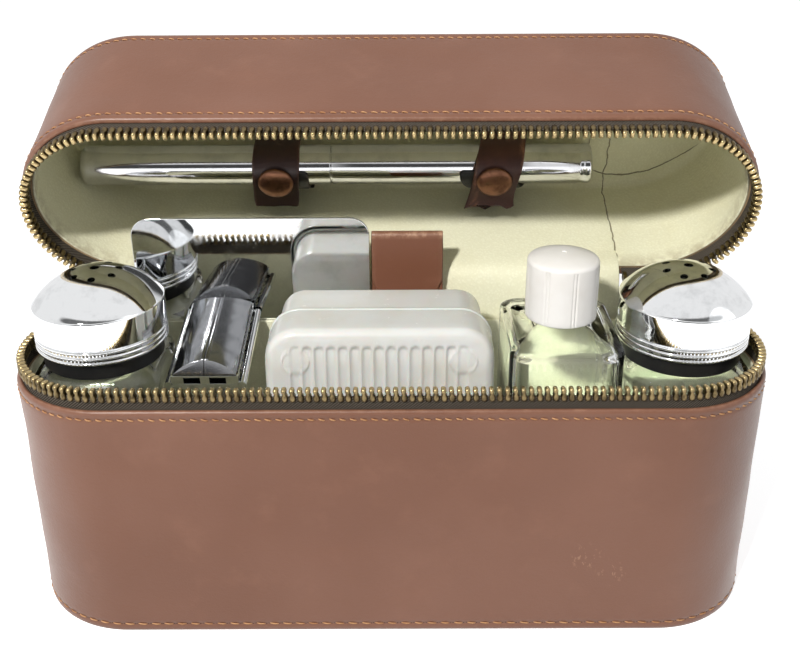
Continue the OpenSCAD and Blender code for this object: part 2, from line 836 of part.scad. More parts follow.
// Arched cross-section under the doors, side -1, 1 or 0 for both
module arch(r, side) {
    intersection() {
        translate([0, door_rise - door_r]) circle(r = r, $fn = 128);
        translate([side > 0 ? 0.1 : -doors_w / 2, side == 0 ? 0 : door_z])
            square([side == 0 ? doors_w : doors_w / 2 - 0.1, door_rise + 1]);
    }
}

// Arched solid of length l whose two ends lean in over the frame
module leaning(l, r, side) {
    foot = door_z + 0.4;
    top = door_rise + 1;
    run = (top - foot) * tan(door_lean);
    intersection() {
        upright(-l / 2, l) arch(r, side);
        rotate([90, 0, 90]) translate([0, 0, -doors_w]) linear_extrude(2 * doors_w)
            polygon([[-l / 2, -1], [l / 2, -1], [l / 2, foot], [l / 2 - run, top],
                [run - l / 2, top], [-l / 2, foot]]);
    }
}

module door(side) {
    color(chrome) in_razor() difference() {
        leaning(head_l, door_r, side);
        leaning(head_l - 2 * door_t, door_r - door_t, 0);
    }
}

module razor_left_door() { door(-1); }
module razor_right_door() { door(1); }

// Frame: a deck, an end plate with two windows at each end, and the handle socket
module razor_frame() {
    plate_z = guard_z + guard_t;
    plate_h = door_z - slide_gap - plate_z;
    deck_l = head_l - 2 * frame_t + 0.6;
    window_w = 5.6;
    window_x = 4.4;
    sill = 0.4;
    color(chrome) in_razor() {
        translate([-doors_w / 2, -deck_l / 2, -head_deck - head_lift])
            cube([doors_w, deck_l, head_deck]);
        for (y0 = [-head_l / 2, head_l / 2 - frame_t]) upright(y0, frame_t) difference() {
            translate([-doors_w / 2, plate_z]) square([doors_w, plate_h]);
            for (side = [-1, 1]) translate([side * window_x - window_w / 2, plate_z + sill])
                square([window_w, plate_h - 2 * sill]);
        }
        translate([0, 0, handle_top]) difference() {
            cylinder(r = socket_r, h = -handle_top - head_deck);
            translate([0, 0, -eps]) cylinder(r = rod_r + seat_gap, h = -handle_top);
        }
    }
}

module razor_guard() {
    bar_r = 1.5;
    slot_w = 1.8;
    slot_l = head_l / 12;
    slot_pitch = head_l / 8;
    color(chrome) in_razor() difference() {
        union() {
            translate([-guard_w / 2 + bar_r, -head_l / 2, guard_z])
                cube([guard_w - 2 * bar_r, head_l, guard_t]);
            for (side = [-1, 1]) translate([side * (guard_w / 2 - bar_r), head_l / 2, guard_z + bar_r])
                rotate([90, 0, 0]) cylinder(r = bar_r, h = head_l, $fn = 32);
        }
        translate([0, 0, guard_z - 1]) cylinder(r = socket_r + slide_gap / 2, h = guard_t + 2);
        // Lather slots along both edges
        for (side = [-1, 1], i = [-3 : 3])
            translate([side * (guard_w / 2 - 2 * slot_w) - slot_w / 2, i * slot_pitch - slot_l / 2, guard_z - 1])
                cube([slot_w, slot_l, guard_t + 2]);
    }
}

module razor_blade() {
    color("silver") in_razor() difference() {
        translate([-blade_w / 2, -blade_l / 2, -head_lift]) cube([blade_w, blade_l, blade_t]);
        translate([-rod_r, -blade_slot / 2, -head_deck]) cube([2 * rod_r, blade_slot, 2 * head_deck]);
    }
}

module razor_handle() {
    z0 = knob_z1 + slide_gap;
    color(chrome) in_razor() difference() {
        union() {
            translate([0, 0, z0]) cylinder(r = handle_r, h = handle_top - eps - z0);
            for (z = [z0 + 1.4, -12]) translate([0, 0, z])
                rotate_extrude() translate([handle_r, 0]) circle(r = 0.5, $fn = 24);
        }
        translate([0, 0, z0 - 1]) cylinder(r = rod_r + seat_gap, h = -z0 + 2);
        // Grip grooves down the barrel
        for (i = [0 : 23]) rotate([0, 0, i * 15]) translate([handle_r + 0.25, 0, z0 + 4])
            cylinder(r = 0.5, h = -z0 - 22, $fn = 16);
    }
}

module razor_knob() {
    color(chrome) in_razor() translate([0, 0, knob_z1 - knob_h]) difference() {
        cylinder(r = handle_r, h = knob_h);
        for (i = [0 : 17]) rotate([0, 0, i * 20]) translate([handle_r + 0.25, 0, 1.6])
            cylinder(r = 0.5, h = knob_h - 3.2, $fn = 16);
        translate([0, 0, knob_h - rod_in]) cylinder(r = rod_r, h = rod_in + eps);
    }
}

// Rod inside the handle that carries the knob's turn to the doors
module razor_rod() {
    color("silver") in_razor() translate([0, 0, knob_z1 - rod_in])
        cylinder(r = rod_r, h = rod_in - knob_z1 - head_deck - 0.4);
}

// Mirror and wallet
module metal_mirror() {
    color(chrome) translate([mirror_x, inner_r - seat_gap, seat_z]) rotate([mirror_lean, 0, 0])
        translate([0, 0, mirror_h / 2])
            upright(-mirror_t, mirror_t) rounded(mirror_w, mirror_h, mirror_r);
}

module wallet_sleeve() {
    sleeve_h = flap_pivot_z - seat_z - 3;
    color(hide_brown) translate([wallet_x - wallet_w / 2, 0, seat_z]) {
        difference() {
            translate([0, sleeve_y0, 0]) cube([wallet_w, wallet_back_y - sleeve_y0, sleeve_h]);
            translate([wallet_t, sleeve_y0 + wallet_t, wallet_t])
                cube([wallet_w - 2 * wallet_t, wallet_cavity, sleeve_h]);
        }
        // Back carries on up to the fold
        translate([0, wallet_back_y - wallet_t, 0]) cube([wallet_w, wallet_t, flap_pivot_z - seat_z]);
    }
}

module wallet_flap() {
    top_z = seat_z + wallet_h;
    color(hide_brown) translate([wallet_x - wallet_w / 2, 0, 0]) {
        translate([0, flap_y0, top_z - flap_l]) cube([wallet_w, wallet_t, flap_l]);
        translate([0, flap_y0, flap_pivot_z + flap_gap])
            cube([wallet_w, wallet_back_y - flap_y0, top_z - flap_pivot_z - flap_gap]);
    }
}

module comb() {
    comb_w = 22;
    comb_h = flap_pivot_z - seat_z - wallet_t - 2;
    tooth_len = 0.6 * comb_w;
    teeth_n = 26;
    pitch = (comb_h - 8) / teeth_n;
    color([0.12, 0.09, 0.08]) translate([wallet_x - comb_w / 2, sleeve_y0 + wallet_t + 0.1, seat_z + wallet_t])
        difference() {
            cube([comb_w, comb_t, comb_h]);
            for (i = [0 : teeth_n - 1])
                translate([comb_w - tooth_len, -1, 4 + i * pitch]) cube([tooth_len + 1, comb_t + 2, pitch * 0.45]);
        }
}

base_wall();
base_floor();
base_board();
base_lining();
base_pad();
pocket_panel();
base_zip_tape();
base_zip_teeth();
base_zip_stops();
hinge_strip();
hinge_lining();
zip_slider();
zip_pull();
lid_wall();
lid_top();
lid_board();
lid_lining();
lid_zip_tape();
lid_zip_teeth();
lid_zip_stops();
strap_rivets();
left_strap_loop();
right_strap_loop();
left_strap_stud();
right_strap_stud();
left_strap_flap();
right_strap_flap();
left_strap_cap();
right_strap_cap();
tube_body();
tube_cap();
left_jar_glass();
left_jar_collar();
left_jar_cap();
right_jar_glass();
right_jar_collar();
right_jar_cap();
bottle_glass();
bottle_cap();
bottle_liner();
soap_box_base();
soap_box_lid();
razor_handle();
razor_knob();
razor_rod();
razor_frame();
razor_guard();
razor_blade();
razor_left_door();
razor_right_door();
metal_mirror();
wallet_sleeve();
wallet_flap();
comb();
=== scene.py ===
"""Looks of the travel grooming kit: hide, lining, zip, chrome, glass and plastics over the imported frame."""

import json
from math import asin, atan2, cos, hypot, pi, radians, sin, sqrt
from random import Random

import bmesh
import bpy
from mathutils import Matrix, Vector, noise


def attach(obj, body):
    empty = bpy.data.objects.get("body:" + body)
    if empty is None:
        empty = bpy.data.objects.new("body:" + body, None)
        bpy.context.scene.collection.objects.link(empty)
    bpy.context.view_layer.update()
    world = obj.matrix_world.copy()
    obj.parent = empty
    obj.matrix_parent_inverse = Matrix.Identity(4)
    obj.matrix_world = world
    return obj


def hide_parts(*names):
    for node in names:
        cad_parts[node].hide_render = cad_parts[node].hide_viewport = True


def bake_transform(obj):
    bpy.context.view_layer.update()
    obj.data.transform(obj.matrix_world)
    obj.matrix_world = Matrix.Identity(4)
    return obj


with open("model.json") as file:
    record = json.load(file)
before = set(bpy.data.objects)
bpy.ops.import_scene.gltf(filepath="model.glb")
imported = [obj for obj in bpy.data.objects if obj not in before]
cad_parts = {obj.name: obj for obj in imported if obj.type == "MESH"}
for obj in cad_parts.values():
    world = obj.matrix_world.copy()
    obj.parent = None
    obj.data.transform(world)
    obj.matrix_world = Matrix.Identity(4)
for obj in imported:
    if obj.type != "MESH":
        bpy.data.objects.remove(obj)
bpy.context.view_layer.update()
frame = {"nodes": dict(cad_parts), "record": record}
MM = 0.001

# Sizes in millimetres. The case is drawn shut, its middle at the origin, its back towards +Y.
R = 37.0  # the hide's outer face at the round ends
END = 93.0  # from the middle to the centre of either end
ROUND = 4 * END + 2 * pi * R
HIDE = 1.8  # how thick it is
BASE_TOP = 89.0
LID_FOOT, LID_TOP = 104.0, 156.0
HINGE_HALF = 87.0  # half of the stretch at the back that has no zip
MEETING_Z = 96.5  # where the two rows of teeth meet
ROW_R = 34.7  # the row of teeth at the round ends
PITCH = 2.54  # from tooth to tooth
TUBE_R, TUBE_Y, TUBE_Z = 7.8, 12.0, 140.8  # radius and axis
FOOT_Z = 4.4  # what the jars and the bottle stand on
SOAP_X, SOAP_Z = -3.55, 58.15  # middle of the soap box

OPEN = (
    Matrix.Translation((0, 0.037, 0.104))
    @ Matrix.Rotation(radians(-68), 4, "X")
    @ Matrix.Translation((0, -0.037, -0.104))
)
TURNED_OVER = (
    Matrix.Translation((0, 0, MEETING_Z * MM))
    @ Matrix.Diagonal((1, 1, -1, 1))
    @ Matrix.Translation((0, 0, -MEETING_Z * MM))
)
RAZOR_HEAD = Matrix.Translation((-0.0631, 0.0056, 0.0936)) @ Matrix.Rotation(radians(10), 4, "X")


# Shader maths


class Value:
    """A socket that takes part in arithmetic, which adds Math nodes."""

    def __init__(self, tree, socket):
        self.tree, self.socket = tree, socket

    def _math(self, operation, a, b=None):
        node = self.tree.nodes.new("ShaderNodeMath")
        node.operation = operation
        for socket, value in zip(node.inputs, (a, b)):
            if value is not None:
                plug(self.tree, socket, value)
        return Value(self.tree, node.outputs[0])

    def __add__(self, other):
        return self._math("ADD", self, other)

    def __sub__(self, other):
        return self._math("SUBTRACT", self, other)

    def __rsub__(self, other):
        return self._math("SUBTRACT", other, self)

    def __mul__(self, other):
        return self._math("MULTIPLY", self, other)

    def __abs__(self):
        return self._math("ABSOLUTE", self)

    def sine(self):
        return self._math("SINE", self)

    def most(self, other):
        return self._math("MAXIMUM", self, other)

    def step(self, low, high):
        """0 below low, 1 above high, smooth between them; falls instead where low is above high."""
        node = self.tree.nodes.new("ShaderNodeMapRange")
        node.interpolation_type = "SMOOTHSTEP"
        rising = low < high
        for socket, value in zip(node.inputs, (self, min(low, high), max(low, high), 1 - rising, int(rising))):
            plug(self.tree, socket, value)
        return Value(self.tree, node.outputs[0])

    __radd__ = __add__
    __rmul__ = __mul__


def plug(tree, socket, value):
    if isinstance(value, Value):
        tree.links.new(value.socket, socket)
    else:
        socket.default_value = value


def tint(r, g, b):
    """Colour given as it looks on a screen, 0 to 255."""
    return tuple((c / 255 / 12.92 if c < 10.3 else ((c / 255 + 0.055) / 1.055) ** 2.4) for c in (r, g, b)) + (1.0,)


class Finish:
    """A material around one Principled shader. Its constants are set on the shader's own sockets."""

    def __init__(self, name, **constants):
        self.material = bpy.data.materials.new(name)
        self.material.use_nodes = True
        self.tree = self.material.node_tree
        self.shader = self.tree.nodes["Principled BSDF"]
        for key, value in constants.items():
            self.shader.inputs[key.replace("_", " ")].default_value = value
        self.place = self.node("ShaderNodeTexCoord", output="Object")

    def node(self, kind, settings=(), output=0, **sockets):
        made = self.tree.nodes.new(kind)
        for key, value in dict(settings).items():
            setattr(made, key, value)
        for key, value in sockets.items():
            plug(self.tree, made.inputs[int(key[1:]) if key[1:].isdigit() else key.replace("_", " ")], value)
        return Value(self.tree, made.outputs[output])

    def noise(self, size, detail=3.0, roughness=0.55, at=None):
        """Cloudy values whose features are about size millimetres across."""
        at = at or self.place
        return self.node("ShaderNodeTexNoise", Vector=at, Scale=1000 / size, Detail=detail, Roughness=roughness)

    def cells(self, size):
        return self.node("ShaderNodeTexVoronoi", output="Distance", Vector=self.place, Scale=1000 / size)

    def stretched(self, x, y, z):
        return self.node("ShaderNodeVectorMath", {"operation": "MULTIPLY"}, _0=self.place, _1=(x, y, z))

    def axis(self, name, source=None):
        return self.node("ShaderNodeSeparateXYZ", output=name, Vector=source or self.place)

    def marked(self, name):
        """What the mesh says about each point, such as how worn it is."""
        return self.node("ShaderNodeAttribute", {"attribute_name": name}, "Fac")

    def near(self, x, y, z, inner, outer):
        """1 within inner millimetres of a point, 0 beyond outer."""
        point = (x * MM, y * MM, z * MM)
        far = self.node("ShaderNodeVectorMath", {"operation": "DISTANCE"}, "Value", _0=self.place, _1=point)
        return far.step(outer * MM, inner * MM)

    def mix(self, share, a, b):
        return self.node("ShaderNodeMix", {"data_type": "RGBA", "clamp_factor": True}, 2, _0=share, _6=a, _7=b)

    def bump(self, *heights):
        """Heights in millimetres, each a pair of value and depth, laid over each other."""
        normal = None
        for height, depth in heights:
            more = {"Normal": normal} if normal else {}
            normal = self.node("ShaderNodeBump", Height=height, Distance=depth * MM, Strength=1.0, **more)
        self.put(Normal=normal)

    def put(self, **values):
        for key, value in values.items():
            plug(self.tree, self.shader.inputs[key.replace("_", " ")], value)


# Finishes


def hide_finish(name, light, mid, dark, worn, gloss, scuffed=False):
    """Hide in three depths of its colour, paler where it is rubbed, and along its rim by the zip also with a painted
    highlight.
    """
    light, mid, dark, worn = (tint(*colour) for colour in (light, mid, dark, worn))
    made = Finish(name, Specular_IOR_Level=0.42, Coat_Roughness=0.3)
    clouds = made.noise(80, 3.0, 0.5)
    blotch = made.noise(16, 4.0, 0.6)
    grain = made.cells(0.75)
    creases = made.noise(2.6, 5.0, 0.6, made.stretched(1, 1, 2.4))
    colour = made.mix(clouds.step(0.3, 0.7), dark, mid)
    colour = made.mix(blotch.step(0.5, 0.85) * 0.5, colour, light)
    colour = made.mix(grain.step(0.42, 0.12) * 0.12, colour, dark)
    # Paler where the mesh marks rubbing, and along the rims by the zip also a painted highlight.
    rubbed = made.marked("wear_and_sheen") * (0.25 + made.noise(3.2, 5.0, 0.7).step(0.42, 0.66) * 0.9)
    colour = made.mix(rubbed, colour, worn)
    specks = made.noise(0.9, 2.0, 0.5).step(0.74, 0.8) * blotch.step(0.5, 0.62)
    colour = made.mix(specks * 0.2, colour, worn)
    heights = [(grain, 0.035), (creases, 0.06), (clouds, 0.4)]
    if scuffed:
        patch = made.near(66, -37, 31, 1, 8).most(made.near(75, -37, 25, 1, 7))
        scratch = made.noise(1.1, 2.0, 0.5, made.stretched(1, 1, 0.5)).step(0.6, 0.66) * patch
        colour = made.mix(scratch * 0.5, colour, worn)
        heights.append((scratch, -0.05))
    made.put(
        Base_Color=colour,
        Roughness=gloss + 0.12 * (creases - 0.5) + 0.1 * (clouds - 0.5),
        Coat_Weight=clouds.step(0.3, 0.75) * 0.14 + 0.04,
    )
    made.bump(*heights)
    return made


def lining_finish(name, dark_lined=False):
    """Cream leatherette, stained here and there."""
    made = Finish(name, Specular_IOR_Level=0.35)
    grain = made.cells(1.05)
    fine = made.noise(0.55, 2.0)
    stain = made.noise(34, 4.0, 0.62)
    colour = made.mix(stain.step(0.42, 0.75) * 0.45, tint(233, 231, 204), tint(222, 216, 181))
    colour = made.mix(grain.step(0.2, 0.55) * 0.14, colour, tint(190, 182, 138))
    colour = made.mix(made.marked("wear_and_sheen") * made.noise(4, 4.0).step(0.35, 0.6) * 0.5, colour, tint(150, 132, 98))
    heights = [(grain, -0.09), (fine, 0.04), (made.noise(16, 3.0), 0.35)]
    if dark_lined:
        dark_line_mask = lining_dark_lines(made)
        colour = made.mix(dark_line_mask * 0.8, colour, tint(92, 78, 50))
        heights.append((dark_line_mask, -0.2))
    made.put(Base_Color=colour, Roughness=0.5 + 0.15 * (fine - 0.5))
    made.bump(*heights)
    return made


def lining_dark_lines(made):
    """Fine dark lines in the lid's lining at the right: cracks down the wall and round the bend, and a thin dark line
    beside the tube's end.
    """
    x, y, z = (made.axis(a) for a in "XYZ")
    wander = (made.noise(6, 4.0) - 0.5) * 0.003
    down = abs(x + wander - 0.0862).step(0.00034, 0.00012) * y.step(0.0395, 0.042) * y.step(0.0805, 0.0785)
    from_middle = x - 0.0925
    round_bend = abs(z + wander * 0.6 - 0.1313 - from_middle * from_middle * 17.0).step(0.0004, 0.00014)
    round_bend = round_bend * x.step(0.080, 0.083) * x.step(0.123, 0.118) * y.step(0.069, 0.0705)
    # A thin dark line beside the tube's end.
    beside = abs(x + wander * 0.25 - 0.0783).step(0.0003, 0.0001)
    beside = beside * z.step(0.129, 0.131) * z.step(0.150, 0.146) * y.step(0.06, 0.062)
    return down.most(round_bend).most(beside)


def twill_finish():
    made = Finish("zip_twill", Specular_IOR_Level=0.15, Roughness=0.85)
    flat = made.node("ShaderNodeUVMap", {"uv_map": "laid_flat"})
    along, up = (made.axis(a, flat) for a in "XY")
    wale = ((along * 0.8 + up) * 7.0).sine() * 0.5 + 0.5
    thread = ((along - up * 0.6) * 16.0).sine() * 0.5 + 0.5
    shade = made.noise(5, 3.0)
    colour = made.mix(wale.step(0.45, 0.95), tint(52, 47, 41), tint(112, 104, 94))
    colour = made.mix(thread * 0.25 + shade.step(0.5, 0.8) * 0.25, colour, tint(70, 62, 52))
    made.put(Base_Color=colour)
    made.bump((wale, 0.14), (thread, 0.05))
    return made


def metal_finish(name, bright, dull, roughness, spread, size=6.0, grain=0.0):
    made = Finish(name, Metallic=1.0)
    film = made.noise(size, 4.0, 0.6)
    specks = made.noise(size * 0.12, 2.0)
    colour = made.mix(film.step(0.45, 0.75), bright, dull)
    rough = roughness + spread * film.step(0.45, 0.8) + spread * 0.6 * specks.step(0.6, 0.75)
    made.put(Base_Color=colour, Roughness=rough)
    made.bump((film, 0.01 + grain), (specks, grain))
    return made


def brass_finish():
    made = Finish("aged_brass", Metallic=1.0)
    patina = made.noise(2.2, 4.0, 0.6)
    rub = made.marked("wear_and_sheen")
    colour = made.mix(patina.step(0.4, 0.68), tint(128, 112, 80), tint(78, 66, 46))
    colour = made.mix(rub * 0.7, colour, tint(206, 184, 136))
    made.put(Base_Color=colour, Roughness=0.4 - rub * 0.14 + (patina - 0.5) * 0.2)
    made.bump((patina, 0.03))
    return made


def plastic_finish(name, colour, shade, roughness, grain=0.02, **constants):
    made = Finish(name, **constants)
    cloud = made.noise(18, 3.0)
    fine = made.noise(0.8, 2.0)
    mark = made.noise(3.5, 5.0, 0.7).step(0.62, 0.8)
    made.put(
        Base_Color=made.mix(cloud.step(0.4, 0.75) * 0.6 + mark * 0.3, colour, shade),
        Roughness=roughness + 0.12 * mark + 0.05 * (fine - 0.5),
    )
    made.bump((fine, grain), (cloud, 0.12))
    return made


def glass_finish():
    """Clear glass that lets the lamps' light through to what stands behind it."""
    made = Finish("pressed_glass", Transmission_Weight=1.0, IOR=1.45)
    wave = made.noise(16, 2.0)
    film = made.noise(7, 4.0).step(0.55, 0.8)
    made.put(Base_Color=made.mix(film, tint(254, 255, 253), tint(247, 251, 245)), Roughness=0.01 + film * 0.05)
    made.bump((wave, 0.2))
    clear = made.node("ShaderNodeBsdfTransparent", Color=(0.92, 0.95, 0.92, 1))
    shadow = made.node("ShaderNodeLightPath", output="Is Shadow Ray")
    both = made.node("ShaderNodeMixShader", _0=shadow, _1=Value(made.tree, made.shader.outputs[0]), _2=clear)
    made.tree.links.new(both.socket, made.tree.nodes["Material Output"].inputs["Surface"])
    return made


def thread_finish():
    made = Finish("peach_thread", Specular_IOR_Level=0.2, Roughness=0.75)
    ply = made.noise(0.35, 2.0, 0.5, made.stretched(1, 1, 1.6))
    soil = made.noise(12, 3.0)
    colour = made.mix(soil.step(0.4, 0.7), tint(204, 156, 112), tint(176, 126, 86))
    made.put(Base_Color=made.mix(ply.step(0.5, 0.7) * 0.4, colour, tint(124, 82, 54)))
    made.bump((ply, 0.06))
    return made


BROWN = hide_finish("brown_hide", (136, 94, 74), (126, 85, 66), (117, 77, 58), (178, 137, 109), 0.4, True)
STRAP_DARK = hide_finish("dark_strap_hide", (76, 44, 38), (58, 32, 28), (42, 24, 22), (112, 74, 60), 0.42)
STRAP_RED = hide_finish("red_strap_hide", (112, 66, 52), (86, 48, 40), (62, 36, 31), (168, 112, 84), 0.45)
STRAP_BLACK = hide_finish("black_strap_hide", (38, 31, 29), (24, 20, 19), (14, 12, 12), (78, 62, 54), 0.45)
WALLET = hide_finish("wallet_hide", (140, 96, 76), (127, 83, 64), (117, 75, 56), (182, 144, 118), 0.42)
LINING = lining_finish("cream_lining")
LID_LINING = lining_finish("lid_lining_cream", True)
TWILL = twill_finish()
BRASS = brass_finish()
CHROME = metal_finish("worn_chrome", (0.86, 0.87, 0.88, 1), (0.72, 0.73, 0.74, 1), 0.05, 0.1)
TUBE_CHROME = metal_finish("tube_chrome", (0.7, 0.7, 0.72, 1), (0.56, 0.56, 0.57, 1), 0.07, 0.14, 9.0)
# The razor's doors: chrome painted darker, standing in for the dark surroundings it reflects.
CHROME_PAINTED_DARK = metal_finish("chrome_painted_dark", (0.36, 0.365, 0.38, 1), (0.22, 0.225, 0.24, 1), 0.12, 0.14, 5.0, 0.004)
STEEL = metal_finish("plain_steel", (0.66, 0.66, 0.67, 1), (0.5, 0.5, 0.52, 1), 0.25, 0.12)
PLATE = metal_finish("polished_plate", (0.8, 0.81, 0.82, 1), (0.68, 0.69, 0.7, 1), 0.03, 0.1, 9.0)
COPPER = metal_finish("copper_snap", tint(128, 90, 70), tint(92, 62, 48), 0.36, 0.16, 4.0, 0.01)
GLASS = glass_finish()
SOAP = plastic_finish(
    "milky_plastic", tint(212, 212, 208), tint(204, 199, 186), 0.26, 0.03,
    Subsurface_Weight=0.2, Subsurface_Scale=0.002, Coat_Weight=0.25,
)
WHITE = plastic_finish("white_plastic", tint(238, 235, 231), tint(226, 221, 213), 0.3)
BLACK = plastic_finish("black_plastic", tint(26, 26, 27), tint(46, 44, 42), 0.35)
SEAL = plastic_finish("sealing_disc", tint(214, 212, 204), tint(190, 186, 172), 0.6)
COMB = plastic_finish("comb_plastic", tint(44, 30, 24), tint(74, 50, 38), 0.25)
BOARD = plastic_finish("grey_board", tint(168, 142, 108), tint(140, 116, 86), 0.9, 0.1)
THREAD = thread_finish()
# Flat dark discs at the stitches' ends: painted shade where the needle went through.
HOLE_SHADE = plastic_finish("needle_hole_shade", tint(44, 24, 18), tint(30, 16, 12), 0.9)


# Making


def raw_mesh(name, shape):
    """A mesh from points and faces in millimetres."""
    points, faces = shape
    mesh = bpy.data.meshes.new(name)
    mesh.from_pydata([Vector(p) * MM for p in points], [], faces)
    return mesh


def make(name, shape, finish, body, slot, stands_for=(), place=None, flat=None, wear_and_sheen=None, sharp=38, weld=True):
    """A piece from points and faces. place carries it from the shut case to where it is at rest."""
    mesh = raw_mesh(name, shape)
    if flat:
        layer = mesh.uv_layers.new(name="laid_flat")
        for loop in mesh.loops:
            layer.data[loop.index].uv = flat[loop.vertex_index]
    marks = mesh.attributes.new("wear_and_sheen", "FLOAT", "POINT")
    if wear_and_sheen:
        marks.data.foreach_set("value", [float(wear_and_sheen(*p)) for p in shape[0]])
    if place is not None:
        mesh.transform(place)
    tidy(mesh, sharp, weld)
    return settle(name, mesh, finish, body, slot, stands_for)


def tidy(mesh, sharp, weld=True):
    bm = bmesh.new()
    bm.from_mesh(mesh)
    if weld:
        bmesh.ops.remove_doubles(bm, verts=bm.verts, dist=2e-6)
    bmesh.ops.recalc_face_normals(bm, faces=bm.faces)
    for face in bm.faces:
        face.smooth = True
    for edge in bm.edges:
        edge.smooth = len(edge.link_faces) == 2 and edge.calc_face_angle(0) < radians(sharp)
    bm.to_mesh(mesh)
    bm.free()


def merged(mesh, other, weld=0.0):
    """Adds another mesh's faces to the first."""
    bm = bmesh.new()
    bm.from_mesh(mesh)
    bm.from_mesh(other)
    if weld:
        bmesh.ops.remove_doubles(bm, verts=bm.verts, dist=weld)
    bm.to_mesh(mesh)
    bm.free()


def settle(name, mesh, finish, body, slot, stands_for):
    """Makes the piece. One without a body is left without a parent."""
    piece = bpy.data.objects.new(name, mesh)
    bpy.context.scene.collection.objects.link(piece)
    mesh.materials.clear()
    mesh.materials.append(finish.material)
    if body:
        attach(piece, body)
    if stands_for:
        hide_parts(*stands_for)
    return piece


def changed(mesh, *modifiers):
    """The mesh after modifiers, each given as type and settings."""
    holder = bpy.data.objects.new("being_made", mesh)
    bpy.context.scene.collection.objects.link(holder)
    for kind, settings in modifiers:
        modifier = holder.modifiers.new(kind.lower(), kind)
        for key, value in settings.items():
            setattr(modifier, key, value)
    bpy.context.view_layer.update()
    result = bpy.data.meshes.new_from_object(holder.evaluated_get(bpy.context.evaluated_depsgraph_get()))
    bpy.data.objects.remove(holder)
    return result


def eased(node, finish, body, slot, width):
    """A node's own form with its hard edges broken by width millimetres."""
    source = frame["nodes"][node].data
    mesh = bpy.data.meshes.new(node + "_eased")
    mesh.from_pydata([v.co.copy() for v in source.vertices], [], [list(p.vertices) for p in source.polygons])
    bm = bmesh.new()
    bm.from_mesh(mesh)
    bmesh.ops.remove_doubles(bm, verts=bm.verts, dist=2e-6)
    bmesh.ops.dissolve_limit(bm, angle_limit=radians(0.4), verts=bm.verts, edges=bm.edges)
    bmesh.ops.recalc_face_normals(bm, faces=bm.faces)
    for face in bm.faces:
        face.smooth = True
    bm.to_mesh(mesh)
    bm.free()
    edge = {"width": width * MM, "segments": 2, "miter_outer": "MITER_ARC"}
    edge.update(limit_method="ANGLE", angle_limit=radians(40))
    mesh = changed(mesh, ("BEVEL", edge), ("WEIGHTED_NORMAL", {"weight": 100, "keep_sharp": True}))
    mesh.attributes.new("wear_and_sheen", "FLOAT", "POINT")
    return settle(node + "_eased", mesh, finish, body, slot, (node,))


def plan(u, r):
    """Place and outward direction at u round the case, measured on its outer face from the middle of the back."""
    arc = pi * R
    u %= ROUND
    if u < END:
        return u, r, 0.0, 1.0
    u -= END
    if u < arc:
        a = pi / 2 - u / R
        return END + r * cos(a), r * sin(a), cos(a), sin(a)
    u -= arc
    if u < 2 * END:
        return END - u, -r, 0.0, -1.0
    u -= 2 * END
    if u < arc:
        a = -pi / 2 - u / R
        return -END + r * cos(a), r * sin(a), cos(a), sin(a)
    return u - arc - END, r, 0.0, 1.0


def round_case(profile, count, start=0.0, stop=ROUND, ripple=None, ring=True):
    """Runs a profile of (distance from the middle line, height) round the case, or along a part of it."""
    whole = stop - start >= ROUND - 1e-6
    columns = count if whole else count + 1
    points, flat = [], []
    for i in range(columns):
        u = start + (stop - start) * i / count
        for r, z in profile:
            x, y, _, _ = plan(u, r + (ripple(u, z) if ripple else 0))
            points.append((x, y, z))
            flat.append((u, z))
    n = len(profile)
    faces = []
    for i in range(count):
        j = (i + 1) % columns
        for k in range(n if ring else n - 1):
            m = (k + 1) % n
            faces.append((i * n + k, j * n + k, j * n + m, i * n + m))
    if not whole and ring:
        faces += [tuple(range(n)), tuple(range(count * n, count * n + n))[::-1]]
    return (points, faces), flat


def arc_points(cx, cy, r, first, last, count):
    """Points of an arc, its angles in degrees."""
    angles = [radians(first + (last - first) * i / count) for i in range(count + 1)]
    return [(cx + r * cos(a), cy + r * sin(a)) for a in angles]


def turned(profile, count, dent=None, closed=True):
    """Turns a profile of (radius, height) about the upright axis. dent gives a radius less at an angle and a height."""
    points = []
    for i in range(count):
        a = 2 * pi * i / count
        for r, z in profile:
            q = max(r - (dent(a, r, z) if dent else 0), 0.0)
            points.append((q * cos(a), q * sin(a), z))
    n = len(profile)
    faces = []
    for i in range(count):
        j = (i + 1) % count
        for k in range(n if closed else n - 1):
            m = (k + 1) % n
            faces.append((i * n + k, j * n + k, j * n + m, i * n + m))
    return points, faces


def squared(w, d, r, z, count=16):
    """One ring of a rounded rectangle, w and d its half sizes."""
    ring = []
    for quarter in range(4):
        sx, sy = ((1, 1), (-1, 1), (-1, -1), (1, -1))[quarter]
        for k in range(count):
            a = pi / 2 * (quarter + k / (count - 1))
            ring.append((sx * (w - r) + r * cos(a), sy * (d - r) + r * sin(a), z))
    return ring


def lofted(rings):
    n = len(rings[0])
    points = [p for ring in rings for p in ring]
    faces = [tuple(range(n))[::-1], tuple(range(len(points) - n, len(points)))]
    for i in range(len(rings) - 1):
        for k in range(n):
            m = (k + 1) % n
            faces.append((i * n + k, i * n + m, (i + 1) * n + m, (i + 1) * n + k))
    return points, faces


def joined(*shapes):
    points, faces = [], []
    for more, loops in shapes:
        base = len(points)
        points += more
        faces += [tuple(base + i for i in loop) for loop in loops]
    return points, faces


def moved(shape, x, y):
    return [(px + x, py + y, z) for px, py, z in shape[0]], shape[1]


